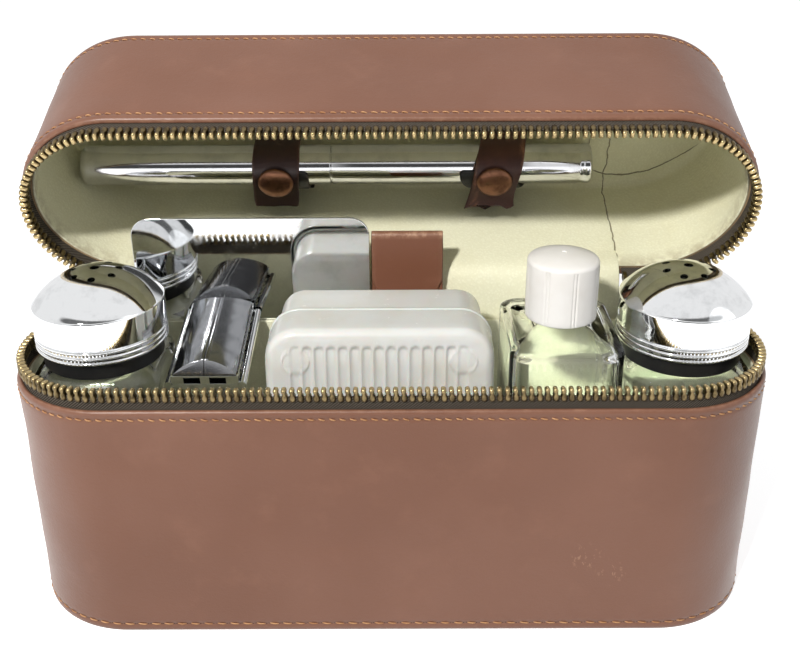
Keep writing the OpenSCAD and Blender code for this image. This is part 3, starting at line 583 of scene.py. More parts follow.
def band(path, half_width, thick, middle=None, torn=None):
    """A strip of hide along a path of (y, z), its width along X.

    half_width and middle are given at 0 to 1 along it, torn across its end."""
    middle = middle or (lambda t: 0.0)
    length = [0.0]
    for a, b in zip(path, path[1:]):
        length.append(length[-1] + hypot(b[0] - a[0], b[1] - a[1]))
    e = thick / 2
    rings = []
    for i, (y, z) in enumerate(path):
        a, b = path[max(i - 1, 0)], path[min(i + 1, len(path) - 1)]
        d = hypot(b[0] - a[0], b[1] - a[1])
        ny, nz = -(b[1] - a[1]) / d, (b[0] - a[0]) / d
        t = length[i] / length[-1]
        w, m = half_width(t), middle(t)
        across = [(-w, 0), (-w + e * 0.45, e * 0.8), (-w + e, e)]
        across += [(-w + (2 * w) * k / 14, e) for k in range(1, 14)]
        across += [(w - e, e), (w - e * 0.45, e * 0.8), (w, 0), (w - e * 0.45, -e * 0.8), (w - e, -e)]
        across += [(w - (2 * w) * k / 14, -e) for k in range(1, 14)]
        across += [(-w + e, -e), (-w + e * 0.45, -e * 0.8)]
        back = torn if torn and i == len(path) - 1 else (lambda q: 0.0)
        rings.append([(m + q, y + h * ny - back(q) * nz, z + h * nz + back(q) * ny) for q, h in across])
    return lofted(rings)


def ripple(depth, size, seed):
    """Gentle unevenness of a soft wall, the same each time."""

    def value(u, z):
        x, y, _, _ = plan(u, R)
        return depth * noise.noise(Vector((x / size, y / size, z / size + seed)))

    return value


# Case


def wall_profile(low, high):
    """Hide wall between two heights: rolled edges, and a slight dip where each row of stitches pulls it in."""
    outer = [(R - 1.2, low), (R - 0.5, low + 0.25), (R - 0.12, low + 0.8)]
    rows = (low + 3.3, high - 3.1)
    heights = [row + 0.4 * k for row in rows for k in range(-4, 5)]
    heights += [low + 6 + (high - low - 12) * i / 14 for i in range(15)]
    for z in sorted(heights):
        outer.append((R - 0.3 * sum(max(0.0, 1 - abs(z - row) / 1.6) ** 2 for row in rows), z))
    outer += [(R, high - 1.2), (R - 0.2, high - 0.45), (R - 0.6, high - 0.06), (R - 1.0, high)]
    inner = [(R - HIDE, high - 0.4), (R - HIDE, (high + low) / 2), (R - HIDE, low + 0.4)]
    return outer + [(R - 1.5, high - 0.08)] + inner + [(R - 1.6, low)]


# Pale bands: rubbing along the edge away from the zip, and along the rim by the zip rubbing together with a painted
# highlight.
def edge_wear_and_highlight(low, high):
    def value(x, y, z):
        r = hypot(max(abs(x) - END, 0), y)
        worn = 0.3 * max(0.0, 1 - abs(z - high) / 0.9) + 0.35 * max(0.0, 1 - abs(z - low) / 1.6)
        return worn * (r > R - 1.5)

    return value


def slack(depth, size, seed, low, high):
    """How far the hide falls back between its rows of stitches."""
    wave = ripple(depth, size, seed)
    return lambda u, z: -abs(wave(u, z)) * min(1.0, max(0.0, (min(z - low, high - z) - 5.5) / 9))


def hide_walls():
    shape, _ = round_case(wall_profile(0.0, BASE_TOP), 300, ripple=slack(0.5, 26, 3, 0.0, BASE_TOP))
    make("base_hide", shape, BROWN, "base", "hide", ["base_wall"], wear_and_sheen=edge_wear_and_highlight(0.0, BASE_TOP))
    shape, _ = round_case(wall_profile(LID_FOOT, LID_TOP), 300, ripple=slack(0.5, 24, 9, LID_FOOT, LID_TOP))
    make("lid_hide", shape, BROWN, "lid", "hide", ["lid_wall"], OPEN, wear_and_sheen=edge_wear_and_highlight(LID_TOP, LID_FOOT))


def lid_crown():
    """Hide over the lid's top, slightly raised in the middle and tucked in at its edge."""
    rings = [(35.2, LID_TOP - 1.8), (35.2, LID_TOP - 0.4), (34.7, LID_TOP)]
    rings += [(34.7 * (1 - i / 12), LID_TOP) for i in range(1, 12)] + [(0.02, LID_TOP)]
    shape, _ = round_case(rings, 220, ring=False)
    make("lid_crown", shape, BROWN, "lid", "hide", ["lid_top"], OPEN)


def lid_cream():
    """The lid's lining, a little slack on its walls and soiled along its edge."""
    rings = [(33.6, 151.0), (33.6, 105.5), (33.2, 105.2), (32.8, 105.5)]
    rings += [(32.8, 112), (32.8, 124), (32.8, 136), (32.8, 148.0)]
    rings += arc_points(29.4, 148.4, 3.4, 0, 90, 6)[1:]
    rings += [(29.4 * (1 - i / 12), 151.8) for i in range(1, 12)] + [(0.02, 151.8)]
    sag = ripple(0.35, 20, 5)
    shape, _ = round_case(rings, 240, ring=False, ripple=lambda u, z: -abs(sag(u, z)) * (110 < z < 150))
    soiled = lambda x, y, z: max(0.0, 1 - abs(z - 105.5) / 2.5)
    make("lid_cream", shape, LID_LINING, "lid", "lining", ["lid_lining"], OPEN, wear_and_sheen=soiled)


def stitch_row(name, body, z, pitch, place, lean, seed):
    """Short slanted stitches round the hide, with flat dark discs at their ends: painted shade where the needle went
    through.
    """
    rng = Random(seed)
    threads, holes = [], []
    count = round(ROUND / pitch)
    for i in range(count):
        u = (i + 0.5) * ROUND / count + rng.uniform(-0.12, 0.12)
        half = pitch * rng.uniform(0.33, 0.38)
        rise = lean * rng.uniform(0.8, 1.2)
        thick = rng.uniform(0.25, 0.3)
        rings = []
        for k in range(6):
            t = k / 5 * 2 - 1
            body_r = thick * sqrt(max(1 - t ** 4, 0.05))
            lift = 0.34 * (1 - t * t) - 0.3
            ring = []
            for m in range(6):
                a = 2 * pi * m / 6
                x, y, _, _ = plan(u + t * half, R + lift + body_r * 0.7 * cos(a))
                ring.append((x, y, z + rise * t + body_r * sin(a)))
            rings.append(ring)
        threads.append(lofted(rings))
        for t in (-1.12, 1.12):
            ring = []
            for m in range(8):
                a = 2 * pi * m / 8
                x, y, _, _ = plan(u + t * half + 0.34 * cos(a), R - 0.24)
                ring.append((x, y, z + rise * t + 0.3 * sin(a)))
            holes.append((ring, [tuple(range(8))]))
    make(name, joined(*threads), THREAD, body, "hide", place=place, sharp=80, weld=False)
    make(name + "_hole_shades", joined(*holes), HOLE_SHADE, body, "hide", place=place, weld=False)


def stitching():
    stitch_row("base_rim_stitches", "base", 85.9, 3.4, None, 0.32, 4)
    stitch_row("base_foot_stitches", "base", 3.3, 4.6, None, 0.2, 7)
    stitch_row("lid_rim_stitches", "lid", 107.3, 3.4, OPEN, 0.3, 12)
    stitch_row("lid_edge_stitches", "lid", 152.9, 3.4, OPEN, 0.3, 15)


# Zip


def tooth_shape():
    """One tooth about its row: rounded legs, a waist, and a head that leans along the row."""
    legs = ((91.8, 0.6, 1.15, 0), (91.95, 0.9, 1.4, 0), (92.8, 0.98, 1.5, 0), (93.6, 0.92, 1.5, 0.02))
    waist = ((94.1, 0.6, 1.35, 0.06), (94.5, 0.58, 1.35, 0.12), (94.9, 0.76, 1.5, 0.18))
    head = ((95.4, 0.85, 1.5, 0.22), (95.8, 0.78, 1.4, 0.24), (96.1, 0.58, 1.15, 0.26), (96.3, 0.25, 0.7, 0.26))
    rings = []
    for z, along, across, lean in legs + waist + head:
        ring = squared(along, across, min(along, across) * 0.85, z, 4)
        rings.append([(x + lean, y, h) for x, y, h in ring])
    return lofted(rings)


def row_place(s):
    """Where the row is at a distance s along it, from the back right corner: x, y and the outward direction."""
    straight, arc = END - HINGE_HALF, pi * ROW_R
    if s < straight:
        return END - straight + s, ROW_R, pi / 2
    s -= straight
    if s < arc:
        a = pi / 2 - s / ROW_R
        return END + ROW_R * cos(a), ROW_R * sin(a), a
    s -= arc
    if s < 2 * END:
        return END - s, -ROW_R, -pi / 2
    s -= 2 * END
    if s < arc:
        a = -pi / 2 - s / ROW_R
        return -END + ROW_R * cos(a), ROW_R * sin(a), a
    return s - arc - END, ROW_R, pi / 2


def tooth_row(name, body, node, first, stop_x, place):
    """Teeth set one by one, a hair out of line, up to the stop at the back left."""
    one, loops = tooth_shape()
    length = 2 * (END - HINGE_HALF) + 2 * pi * ROW_R + 2 * END
    rng = Random(node)
    teeth = []
    for i in range(int((length - 2.6) / PITCH) + 1):
        x, y, a = row_place(first + i * PITCH)
        if -stop_x < x < 0 and y > 0:
            continue
        a += rng.uniform(-0.03, 0.03)
        turned_tooth = [(x + px * sin(a) + py * cos(a), y - px * cos(a) + py * sin(a), pz) for px, py, pz in one]
        teeth.append((turned_tooth, loops))
    rubbed = lambda x, y, z: max(0.0, (z - 95.2) / 1.1)
    make(name, joined(*teeth), BRASS, body, "zip_brass", [node], place, wear_and_sheen=rubbed, sharp=75, weld=False)


def zip_parts():
    tooth_row("base_teeth", "base", "base_zip_teeth", 2.9, 89.9, None)
    tooth_row("lid_teeth", "lid", "lid_zip_teeth", 4.17, 101.9, OPEN @ TURNED_OVER)
    tape = [(35.1, 87.5), (35.15, 90), (35.1, 93.0), (34.9, 93.2)]
    tape += [(34.5, 93.2), (34.3, 93.0), (34.28, 90), (34.3, 87.5)]
    shape, flat = round_case(tape, 280, HINGE_HALF, ROUND - HINGE_HALF)
    make("base_tape", shape, TWILL, "base", "zip_tape", ["base_zip_tape"], flat=flat)
    turn = asin(6.0 / ROW_R) * R
    shape, flat = round_case(tape, 280, HINGE_HALF, ROUND - END - turn)
    make("lid_tape", shape, TWILL, "lid", "zip_tape", ["lid_zip_tape"], OPEN @ TURNED_OVER, flat=flat)


# Straps


def strap_wear(half, shift):
    """Paler along both edges of a strap."""
    return lambda x, y, z: max(0.0, 1 - abs(half - abs(x - shift)) / 0.9) * 0.9


def strap(side, x, finish, slope, tail, slant, ear, notch):
    """Under band, over band and snap. Each is drawn in Y and Z about the tube's axis.

    slope and slant run the bands aside, tail is the over band's end beyond the snap, and ear and notch tear it."""
    place = OPEN @ Matrix.Translation((x * MM, TUBE_Y * MM, TUBE_Z * MM))
    shift = 1.6
    hook = [(20.2, 10.3), (16, 10.3), (12, 10.3), (10.4, 10.25), (9.5, 9.9), (9.0, 9.2), (8.8, 8.0), (8.8, 5.0)]
    hook += [(8.8, 2.0)] + arc_points(0, 0, 8.8, 0, -108, 14)

    def under_width(t):
        return 10.6 + 0.2 * notch * sin(23 * t) * (t > 0.5) - 1.2 * max(0, t - 0.97) / 0.03

    loop = band(hook, under_width, 1.3, lambda t: shift + slope * max(0.0, t - 0.5) * 2)
    rubbed = strap_wear(10.5, shift)
    make(side + "_under_strap", loop, STRAP_BLACK, "lid", "strap_hide", [side + "_strap_loop"], place, wear_and_sheen=rubbed)
    path = [(-10.5, 10.6), (-10.5, 8), (-10.55, 5), (-10.55, 2.5), (-10.5, 0)]
    path += arc_points(0, 0, 10.5, 180, 270, 10)[1:] + tail

    def width(t):
        end = max(0.0, (t - 0.9) / 0.1)
        return 9.0 - 0.25 * sin(6 * t) ** 2 - ear * end - 0.5 * max(0.0, end - 0.6)

    def middle(t):
        return slant * (t - 0.5) + 0.2 * sin(5 * t)

    flap = band(path, width, 1.25, middle, lambda q: notch * (abs(sin(0.36 * q + 0.5)) * 0.9 - 0.2))
    rubbed = strap_wear(9.0, 0)
    make(side + "_over_strap", flap, finish, side + "_flap", "strap_hide", [side + "_strap_flap"], place, wear_and_sheen=rubbed)
    dome = [(0.0, -13.35), (3.0, -13.2), (5.2, -12.8), (6.3, -12.2)]
    dome += [(6.75, -11.7), (6.8, -11.4), (6.4, -11.2), (0.0, -11.2)]
    snap = moved(turned(dome, 64, closed=False), 0.5 * slant * 0.55, 0)
    make(side + "_snap", snap, COPPER, side + "_flap", "copper", [side + "_strap_cap"], place, sharp=60)


def straps():
    strap("left", -44.0, STRAP_DARK, 0.0, [(3, -10.5), (6, -10.55), (9, -10.9), (11.4, -11.3)], -0.9, 0.5, 0.5)
    strap("right", 41.0, STRAP_RED, -6.5, [(3, -10.5), (6, -10.6), (9, -11.1), (12.2, -12.4)], -6.2, -0.9, 2.2)


def tube():
    """The toothbrush tube's two halves, lying along X. The left one's narrow neck goes into the right one."""
    r = TUBE_R
    left = [(0.0, 0.0), (3.6, 0.0), (5.0, 0.1)] + arc_points(r - 3.0, 3.0, 3.0, -85, 0, 7)
    left += [(r, 50), (r, 96.25), (7.68, 96.5), (7.45, 96.6), (7.04, 96.6)]
    left += [(7.04, 102.0), (6.85, 102.3), (6.4, 102.3), (6.4, 60), (6.4, 2.0), (0.0, 2.0)]
    right = [(0.0, 0.0), (4.6, 0.0), (6.6, 0.1)] + arc_points(r - 1.2, 1.2, 1.2, -80, 0, 5)
    right += [(r, 3.0), (7.55, 3.25), (7.55, 4.9), (r, 5.15), (r, 50), (r, 99.65), (7.68, 99.9)]
    right += [(7.45, 100.0), (7.1, 100.0), (7.1, 60), (7.1, 2.0), (0.0, 2.0)]
    for name, node, profile, body, x, turn in (
        ("tube_left_half", "tube_body", left, "lid", -120.0, 90),
        ("tube_right_half", "tube_cap", right, "tube_cap", 77.0, -90),
    ):
        place = OPEN @ Matrix.Translation((x * MM, TUBE_Y * MM, TUBE_Z * MM)) @ Matrix.Rotation(radians(turn), 4, "Y")
        make(name, turned(profile, 128, closed=False), TUBE_CHROME, body, "chrome", [node], place, sharp=50)


# Contents


def jar_glass(side, x):
    z0, z1 = FOOT_Z, 91.4  # foot and shoulder
    outside = [(18.5, 9.0, z0), (20.0, 10.0, z0 + 0.4), (21.2, 10.8, z0 + 1.8), (21.5, 11, z0 + 4)]
    outside += [(21.5, 11, 40), (21.5, 11, 80), (21.5, 11, z1 - 3.5)]
    outside += [(21.1, 11, z1 - 1.6), (20.0, 11.5, z1 - 0.5), (18.4, 12.5, z1 - 0.05)]
    neck = [(17.0, 16.95, z1), (17.0, 16.95, z1 + 12.6), (16.6, 16.55, z1 + 13.0), (14.9, 14.85, z1 + 13.0)]
    neck += [(14.6, 14.55, z1 + 12.6), (14.6, 14.55, z1 - 1.0)]
    inside = [(17.0, 11.5, z1 - 4.0), (19.1, 8.6, z1 - 7), (19.1, 8.6, 40), (19.1, 8.6, z0 + 8)]
    inside += [(18.0, 8.0, z0 + 5.4), (15.5, 7.0, z0 + 4.8)]
    shape = lofted([squared(half, half, corner, z) for half, corner, z in outside + neck + inside])
    shape = moved(shape, x, 0)
    make(side + "_jar_glass_moulded", shape, GLASS, side + "_jar", "glass", [side + "_jar_glass"], sharp=50)


def drill(r):
    return turned([(0, 105), (r, 105), (r, 130), (0, 130)], 24, closed=False)


def shaker_cap(side, x, first_hole):
    """Chromed cap: three beads, a straight skirt and a dome with a ring of holes, its web and sleeve inside."""
    z, r, height = 97.1, 22.4, 26.5
    outer = [(21.2, z), (21.6, z)]
    for i in range(3):
        outer += arc_points(21.75, z + 0.9 + 1.9 * i, 0.7, -80, 80, 6)
    fillet, dome = 1.6, 28.31
    dome_z = z + height - dome
    fillet_r = r - fillet
    fillet_z = dome_z + sqrt((dome - fillet) ** 2 - fillet_r ** 2)
    top = atan2(fillet_z - dome_z, fillet_r) * 180 / pi
    outer += [(r, z + 5.9), (r, z + 10)] + arc_points(fillet_r, fillet_z, fillet, 0, top, 8)
    outer += arc_points(0, dome_z, dome, top, 90, 26)[1:]
    inner = arc_points(0, dome_z, dome - 1.2, 90, top, 14) + [(21.2, z + 13.5), (21.2, z + 10.5)]
    mesh = raw_mesh("cap_shell", turned(outer + inner, 128))
    tidy(mesh, 60)
    drills = [drill(1.6)]
    for i in range(7):
        a = radians(first_hole + i * 360 / 7)
        drills.append(moved(drill(1.3), 8 * cos(a), 8 * sin(a)))
    cutter_mesh = raw_mesh("drills", joined(*drills))
    tidy(cutter_mesh, 60)
    cutter = bpy.data.objects.new("drills", cutter_mesh)
    bpy.context.scene.collection.objects.link(cutter)
    mesh = changed(mesh, ("BOOLEAN", {"object": cutter, "operation": "DIFFERENCE", "solver": "EXACT"}))
    bpy.data.objects.remove(cutter)
    web = turned([(14.6, 104.8), (21.22, 104.8), (21.22, 106.0), (14.6, 106.0)], 96)
    sleeve = turned([(19.5, 97.6), (20.3, 97.6), (20.3, 104.8), (19.5, 104.8)], 96)
    merged(mesh, raw_mesh("cap_inside", joined(web, sleeve)))
    mesh.transform(Matrix.Translation((x * MM, 0, 0)))
    if "wear_and_sheen" not in mesh.attributes:
        mesh.attributes.new("wear_and_sheen", "FLOAT", "POINT")
    tidy(mesh, 40, False)
    settle(side + "_shaker_cap", mesh, CHROME, side + "_cap", "chrome", [side + "_jar_cap"])


def jar(side, x, first_hole):
    jar_glass(side, x)
    shaker_cap(side, x, first_hole)
    eased(side + "_jar_collar", BLACK, side + "_collar", "black_plastic", 0.35)


def bottle_glass(x, y):
    z0, z1 = FOOT_Z, 102.4  # foot and shoulder
    outside = [(16.0, 20.0, 4.5, z0), (17.8, 21.8, 5.4, z0 + 0.5), (18.8, 22.8, 6.0, z0 + 2.2), (19, 23, 6, z0 + 5)]
    outside += [(19, 23, 6, 40), (19, 23, 6, 80), (19, 23, 6, z1 - 1.6), (18.8, 22.8, 6.0, z1 - 0.7)]
    outside += [(18.2, 22.2, 6.2, z1 - 0.1), (17.4, 21.4, 6.4, z1 + 0.3), (15.0, 18.6, 7.5, z1 + 1.0)]
    outside += [(12.4, 14.8, 9.0, z1 + 1.9), (10.4, 11.2, 9.9, z1 + 2.8)]
    neck = [(9.0, 9.0, 8.95, z1 + 3.4), (8.0, 8.0, 7.95, z1 + 4.4), (8.0, 8.0, 7.95, z1 + 21.0)]
    neck += [(7.6, 7.6, 7.55, z1 + 21.4), (6.4, 6.4, 6.35, z1 + 21.4), (6.2, 6.2, 6.15, z1 + 21.0)]
    inside = [(6.2, 6.2, 6.15, z1 + 2.0), (9.5, 10.5, 6.0, z1 - 1.0), (14.8, 18.0, 4.6, z1 - 2.4)]
    inside += [(16.2, 20.2, 4.0, z1 - 4.4), (16.4, 20.4, 3.6, 80), (16.4, 20.4, 3.6, z0 + 9)]
    inside += [(15.2, 19.2, 3.4, z0 + 6), (12.5, 16.0, 3.0, z0 + 5.2)]
    shape = lofted([squared(*ring) for ring in outside + neck + inside])
    make("bottle_moulded", moved(shape, x, y), GLASS, "bottle", "glass", ["bottle_glass"], sharp=50)


def bottle_cap(x, y):
    """White screw cap with eight pairs of grooves down its side."""
    z = 106.4
    outer = [(8.3, z), (11.7, z), (12.1, z + 0.25), (12.2, z + 0.7)] + [(12.2, z + 2 + 16.8 * i / 8) for i in range(8)]
    outer += arc_points(10.4, z + 19.6, 1.8, 0, 58, 6) + [(9.6, z + 21.6), (8.0, z + 22.15), (5.5, z + 22.65)]
    outer += [(2.6, z + 22.93), (0.9, z + 23.0), (0.75, z + 22.8), (0.0, z + 22.78)]
    inner = [(0.0, z + 18.6), (8.3, z + 18.6)]

    def grooves(a, r, h):
        if r < 11.8 or h > z + 19.8:
            return 0.0
        deepest = 0.0
        for i in range(8):
            for beside in (-2.6, 2.6):
                off = (a - radians(i * 45 + 12 + beside) + pi) % (2 * pi) - pi
                deepest = max(deepest, 0.3 * max(0.0, 1 - abs(off) / radians(1.9)))
        return deepest

    cap = turned(outer + inner, 288, grooves)
    make("bottle_cap_moulded", moved(cap, x, y), WHITE, "bottle_cap", "white_plastic", ["bottle_cap"], sharp=50)


def bottle():
    x, y = 58.2, -2.0
    bottle_glass(x, y)
    bottle_cap(x, y)


def wallet():
    path = [(32.05, 122.9)] + arc_points(30.67, 123.05, 1.38, 0, 180, 12)
    path += [(29.28, 122.0), (29.25, 118), (29.2, 112), (29.25, 106), (29.3, 101.4)]
    middle = 5.8

    def half(t):
        return 13.2 - 0.15 * sin(3.1 * t) - 2.0 * max(0.0, (t - 0.96) / 0.04) ** 2

    # Paler along the top fold and the sides: rubbing, and on the fold also a painted highlight.
    def rubbed(x, y, z):
        edge = 13.3 - abs(x - middle)
        return 0.8 * max(0.0, 1 - abs(z - 124.0) / 1.5) + 0.5 * max(0.0, 1 - edge / 0.7)

    fold = moved(band(path, half, 0.68), middle, 0)
    make("wallet_fold", fold, WALLET, "wallet_flap", "wallet_hide", ["wallet_flap"], wear_and_sheen=rubbed, sharp=70)
    eased("wallet_sleeve", WALLET, "wallet", "wallet_hide", 0.22)


def fittings():
    for node, finish, body, slot, width in (
        ("metal_mirror", PLATE, "mirror", "polished_plate", 0.35),
        ("razor_left_door", CHROME_PAINTED_DARK, "left_door", "chrome", 0.2),
        ("razor_right_door", CHROME_PAINTED_DARK, "right_door", "chrome", 0.2),
        ("razor_frame", CHROME, "razor", "chrome", 0.22),
        ("razor_guard", CHROME, "razor", "chrome", 0.25),
        ("pocket_panel", LINING, "base", "lining", 0.3),
        ("zip_slider", BRASS, "base", "zip_brass", 0.25),
        ("zip_pull", BRASS, "zip_pull", "zip_brass", 0.2),
        ("comb", COMB, "wallet", "comb_plastic", 0.12),
    ):
        eased(node, finish, body, slot, width)


def hinge_strips():
    """The hide over the joint at the back and the lining inside it."""
    half = HINGE_HALF - 1
    outside = [(36.1, 88.6), (36.1, 92), (36.1, 96), (36.1, 99), (36.12, 101.4)]
    outside += [(36.2, 103.0), (36.6, 104.4), (37.22, 105.06), (38.6, 105.7)]
    strip = make("hinge_hide", band(outside, lambda t: half, 1.7), BROWN, None, "hide", ["hinge_strip"], sharp=70)
    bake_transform(strip)
    inside = [(32.95, 83), (32.95, 88), (33.1, 93), (33.3, 98), (33.7, 102)]
    inside += [(34.4, 105), (35.6, 107.2), (37.34, 108.5), (41.05, 110.0), (43.83, 111.13)]
    strip = make("hinge_cream", band(inside, lambda t: half, 0.8), LINING, None, "lining", ["hinge_lining"], sharp=70)
    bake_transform(strip)


def half_box(w, h, corner, depth, edge, dent=None):
    """Open half of a rounded box about the middle of its closed face, which looks to -Y. dent presses that face in."""
    points = []
    columns, rows = 300, 130
    for i in range(columns + 1):
        x = w / 2 * sin(pi / 2 * (2 * i / columns - 1))
        top = h / 2 - corner + sqrt(max(corner ** 2 - max(abs(x) - (w / 2 - corner), 0) ** 2, 0))
        face = edge - sqrt(max(edge ** 2 - max(abs(x) - (w / 2 - edge), 0) ** 2, 0))
        low = [(depth + (face + edge - depth) * k / 5, -top) for k in range(6)]
        turns = [pi / 2 * k / 8 for k in range(1, 9)]
        low += [(face + edge - edge * sin(a), -top + edge - edge * cos(a)) for a in turns]
        flat = []
        for k in range(1, rows):
            z = (-top + edge) + 2 * (top - edge) * k / rows
            flat.append((face + (dent(x, z) if dent else 0.0), z))
        column = low + flat + [(y, -z) for y, z in reversed(low)]
        points += [(x, y, z) for y, z in column]
    n = len(column)
    corners = [i * n + k for i in range(columns) for k in range(n - 1)]
    faces = [(c, c + n, c + n + 1, c + 1) for c in corners]
    return points, faces + [tuple(range(n)), tuple(range(columns * n, columns * n + n))[::-1]]


def flutes(x, z):
    """Flutes with round ends down the front, fainter where a round boss crosses them."""
    pitch, reach = 54.5 / 14, 46.5
    i = min(max(round((x + 27.25) / pitch), 0), 14)
    away = hypot(x + 27.25 - i * pitch, max(abs(z) - reach, 0))
    press = 0.7 * max(0.0, 1 - (away / 1.8) ** 3) * min(1.0, 0.75 + abs(z) / 190)
    boss = hypot(abs(x) - 27.25, abs(z) - 42.75)
    press *= 0.35 + 0.65 * min(1.0, max(0.0, (boss - 4.0) / 0.8))
    return press - 0.3 * max(0.0, 1 - abs(boss - 4.4) / 0.45)


def mouth_bead(w, h, corner, y):
    """Rounded lip round a mouth, given as a rounded rectangle's half sizes and its place along Y."""
    rings = []
    section = ((-0.9, 0.0), (0.1, 0.0), (0.32, -0.25), (0.36, -0.8), (0.22, -1.3), (-0.05, -1.5), (-0.9, -1.5))
    for out, back in section:
        rings.append([(px, y + back, pz) for px, pz, _ in squared(w + out, h + out, corner + out, 0)])
    points, faces = lofted(rings + rings[:1])
    return points, faces[2:]


def soap_box():
    for name, body, node, shape, turn, y in (
        ("soap_front", "soap_lid", "soap_box_lid", half_box(75.0, 107.5, 11, 17.7, 3.2, flutes), 1, -26.0),
        ("soap_back", "soap_box", "soap_box_base", half_box(70.8, 103.3, 8.9, 26.0, 3.0), -1, 13.7),
    ):
        points, faces = shape
        mesh = raw_mesh(name, ([(x + SOAP_X, y + turn * out, z + SOAP_Z) for x, out, z in points], faces))
        tidy(mesh, 60)
        mesh = changed(mesh, ("SOLIDIFY", {"thickness": 1.8 * MM, "offset": -1.0}))
        if body == "soap_lid":
            points, faces = mouth_bead(37.5, 53.75, 11, -8.3)
            bead = raw_mesh("mouth_bead", ([(x + SOAP_X, along, z + SOAP_Z) for x, along, z in points], faces))
            merged(mesh, bead, 1e-7)
        mesh.attributes.new("wear_and_sheen", "FLOAT", "POINT")
        tidy(mesh, 60, False)
        settle(name, mesh, SOAP, body, "soap_plastic", [node])


def door_ribs():
    """Raised ribs on both sides of the seam between the razor's doors."""
    across = [(0.12, 4.8), (0.12, 5.2), (0.3, 5.3), (1.2, 5.24), (1.42, 5.1), (1.42, 4.75)]
    along = ((-18.9, 0.5), (-18.4, 0.05), (-18.0, 0), (18.0, 0), (18.4, 0.05), (18.9, 0.5))
    for side, sign in (("left", -1), ("right", 1)):
        rings = [[(sign * x, y, z - drop) for x, z in across] for y, drop in along]
        make(side + "_door_rib", lofted(rings), CHROME_PAINTED_DARK, side + "_door", "chrome", place=RAZOR_HEAD, sharp=50)


CARRIED = {
    "hide": BROWN, "board": BOARD, "lining": LINING, "zip_tape": TWILL, "zip_brass": BRASS, "copper": COPPER,
    "strap_hide": STRAP_BLACK, "chrome": CHROME, "steel": STEEL, "polished_plate": PLATE, "glass": GLASS,
    "black_plastic": BLACK, "white_plastic": WHITE, "soap_plastic": SOAP, "liner": SEAL, "wallet_hide": WALLET,
    "comb_plastic": COMB,
}


def dress_frame():
    """Every node of the frame gets the finish of its slot."""
    slots = {part["node"]: part["material_slot"] for part in frame["record"]["subparts"]}
    for name, node in frame["nodes"].items():
        finish = CARRIED[slots[name]]
        node.data.materials.clear()
        node.data.materials.append(finish.material)


# Studio


def sky():
    """Pale light on what is matt, white for the eye and for glass, and for metal a room with two dark places."""
    world = bpy.data.worlds.new("studio")
    bpy.context.scene.world = world
    world.use_nodes = True
    tree = world.node_tree
    tree.nodes.clear()

    def node(kind, output=0, settings=(), **sockets):
        made = tree.nodes.new(kind)
        for key, value in dict(settings).items():
            setattr(made, key, value)
        for key, value in sockets.items():
            plug(tree, made.inputs[int(key[1:]) if key[1:].isdigit() else key], value)
        return Value(tree, made.outputs[output])

    direct = node("ShaderNodeLightPath", "Is Camera Ray")
    seen = direct.most(node("ShaderNodeLightPath", "Is Transmission Ray"))
    glossy = node("ShaderNodeLightPath", "Is Glossy Ray")
    toward, up, across = (
        node("ShaderNodeSeparateXYZ", a, Vector=node("ShaderNodeTexCoord", "Generated")) for a in "YZX"
    )
    low_wall = up.step(-0.1, 0.0) * up.step(0.36, 0.26)
    aside, above = across * 1.35, (up - 0.6) * 4.4
    high_wall = (aside * aside + above * above).step(1.0, 0.86) * up.step(0.6, 0.66)
    dim = toward.step(-0.05, -0.2) * (low_wall * abs(across).step(0.6, 0.4)).most(high_wall * 0.9)
    room = 0.92 - dim * 0.85
    shine = node("ShaderNodeBackground", Color=(1, 1, 1, 1), Strength=room)
    white = node("ShaderNodeBackground", Color=(1, 1, 1, 1), Strength=1.0)
    soft = node("ShaderNodeBackground", Color=(0.97, 0.985, 1.0, 1), Strength=up.step(-0.2, 0.9) * 0.3 + 0.15)
    lit = node("ShaderNodeMixShader", _0=glossy, _1=soft, _2=shine)
    final = node("ShaderNodeMixShader", _0=seen, _1=lit, _2=white)
    out = tree.nodes.new("ShaderNodeOutputWorld")
    tree.links.new(final.socket, out.inputs["Surface"])


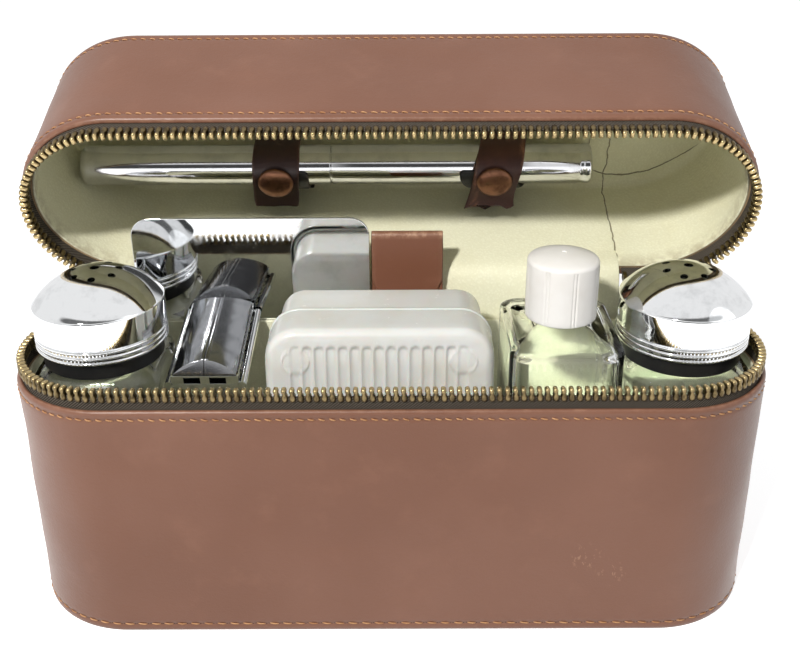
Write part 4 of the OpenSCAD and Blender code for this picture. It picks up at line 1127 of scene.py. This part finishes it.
def floor():
    mesh = bpy.data.meshes.new("floor")
    reach = 3.0
    corners = [(-reach, -reach, 0), (reach, -reach, 0), (reach, reach, 0), (-reach, reach, 0)]
    mesh.from_pydata(corners, [], [(0, 1, 2, 3)])
    ground = bpy.data.objects.new("floor", mesh)
    bpy.context.scene.collection.objects.link(ground)
    made = Finish("floor_paper", Roughness=1.0, Specular_IOR_Level=0.0)
    paper = made.noise(400, 2.0)
    seen = made.node("ShaderNodeLightPath", output="Is Camera Ray")
    for ray in ("Is Glossy Ray", "Is Transmission Ray"):
        seen = seen.most(made.node("ShaderNodeLightPath", output=ray))
    shade = made.mix(paper, (0.9, 0.9, 0.9, 1), (0.94, 0.94, 0.94, 1))
    glow = made.mix(seen, (0, 0, 0, 1), (0.66, 0.66, 0.66, 1))
    made.put(Base_Color=made.mix(seen, (0.25, 0.25, 0.25, 1), shade), Emission_Color=glow)
    made.shader.inputs["Emission Strength"].default_value = 1.0
    mesh.materials.append(made.material)


def lamp(name, place, target, size, power, colour):
    data = bpy.data.lights.new(name, "AREA")
    data.shape = "DISK"
    data.size = size
    data.energy = power
    data.color = colour
    light = bpy.data.objects.new(name, data)
    light.location = place
    light.rotation_euler = (Vector(target) - Vector(place)).to_track_quat("-Z", "Y").to_euler()
    bpy.context.scene.collection.objects.link(light)


def camera():
    data = bpy.data.cameras.new("photo_camera")
    data.sensor_fit = "HORIZONTAL"
    data.sensor_width = 36.0
    data.lens = 44.89
    data.shift_y = -0.0913
    data.clip_start = 0.01
    pitch, yaw, roll = radians(22.45), radians(-0.16), radians(-0.31)
    ahead = Vector((sin(yaw) * cos(pitch), cos(yaw) * cos(pitch), -sin(pitch)))
    side = Vector((cos(yaw), -sin(yaw), 0))
    up = side.cross(ahead)
    right = side * cos(roll) + up * sin(roll)
    up = up * cos(roll) - side * sin(roll)
    eye = bpy.data.objects.new("photo_camera", data)
    eye.matrix_world = Matrix((right, up, -ahead)).transposed().to_4x4()
    eye.location = (0.0041, -0.3121, 0.2541)
    bpy.context.scene.collection.objects.link(eye)
    bpy.context.scene.camera = eye


def studio():
    sky()
    floor()
    lamp("key", (-0.42, -0.86, 0.92), (0, 0.02, 0.09), 0.1, 16.6, (1.0, 0.99, 0.97))
    lamp("fill", (0.9, -0.5, 0.7), (0, 0, 0.08), 0.9, 1.0, (0.96, 0.98, 1.0))
    camera()
    bpy.context.scene.view_settings.view_transform = "Standard"


dress_frame()
hide_walls()
lid_crown()
lid_cream()
stitching()
zip_parts()
straps()
tube()
jar("left", -100.5, 20)
jar("right", 101.0, 40)
bottle()
wallet()
soap_box()
fittings()
door_ribs()
hinge_strips()
studio()
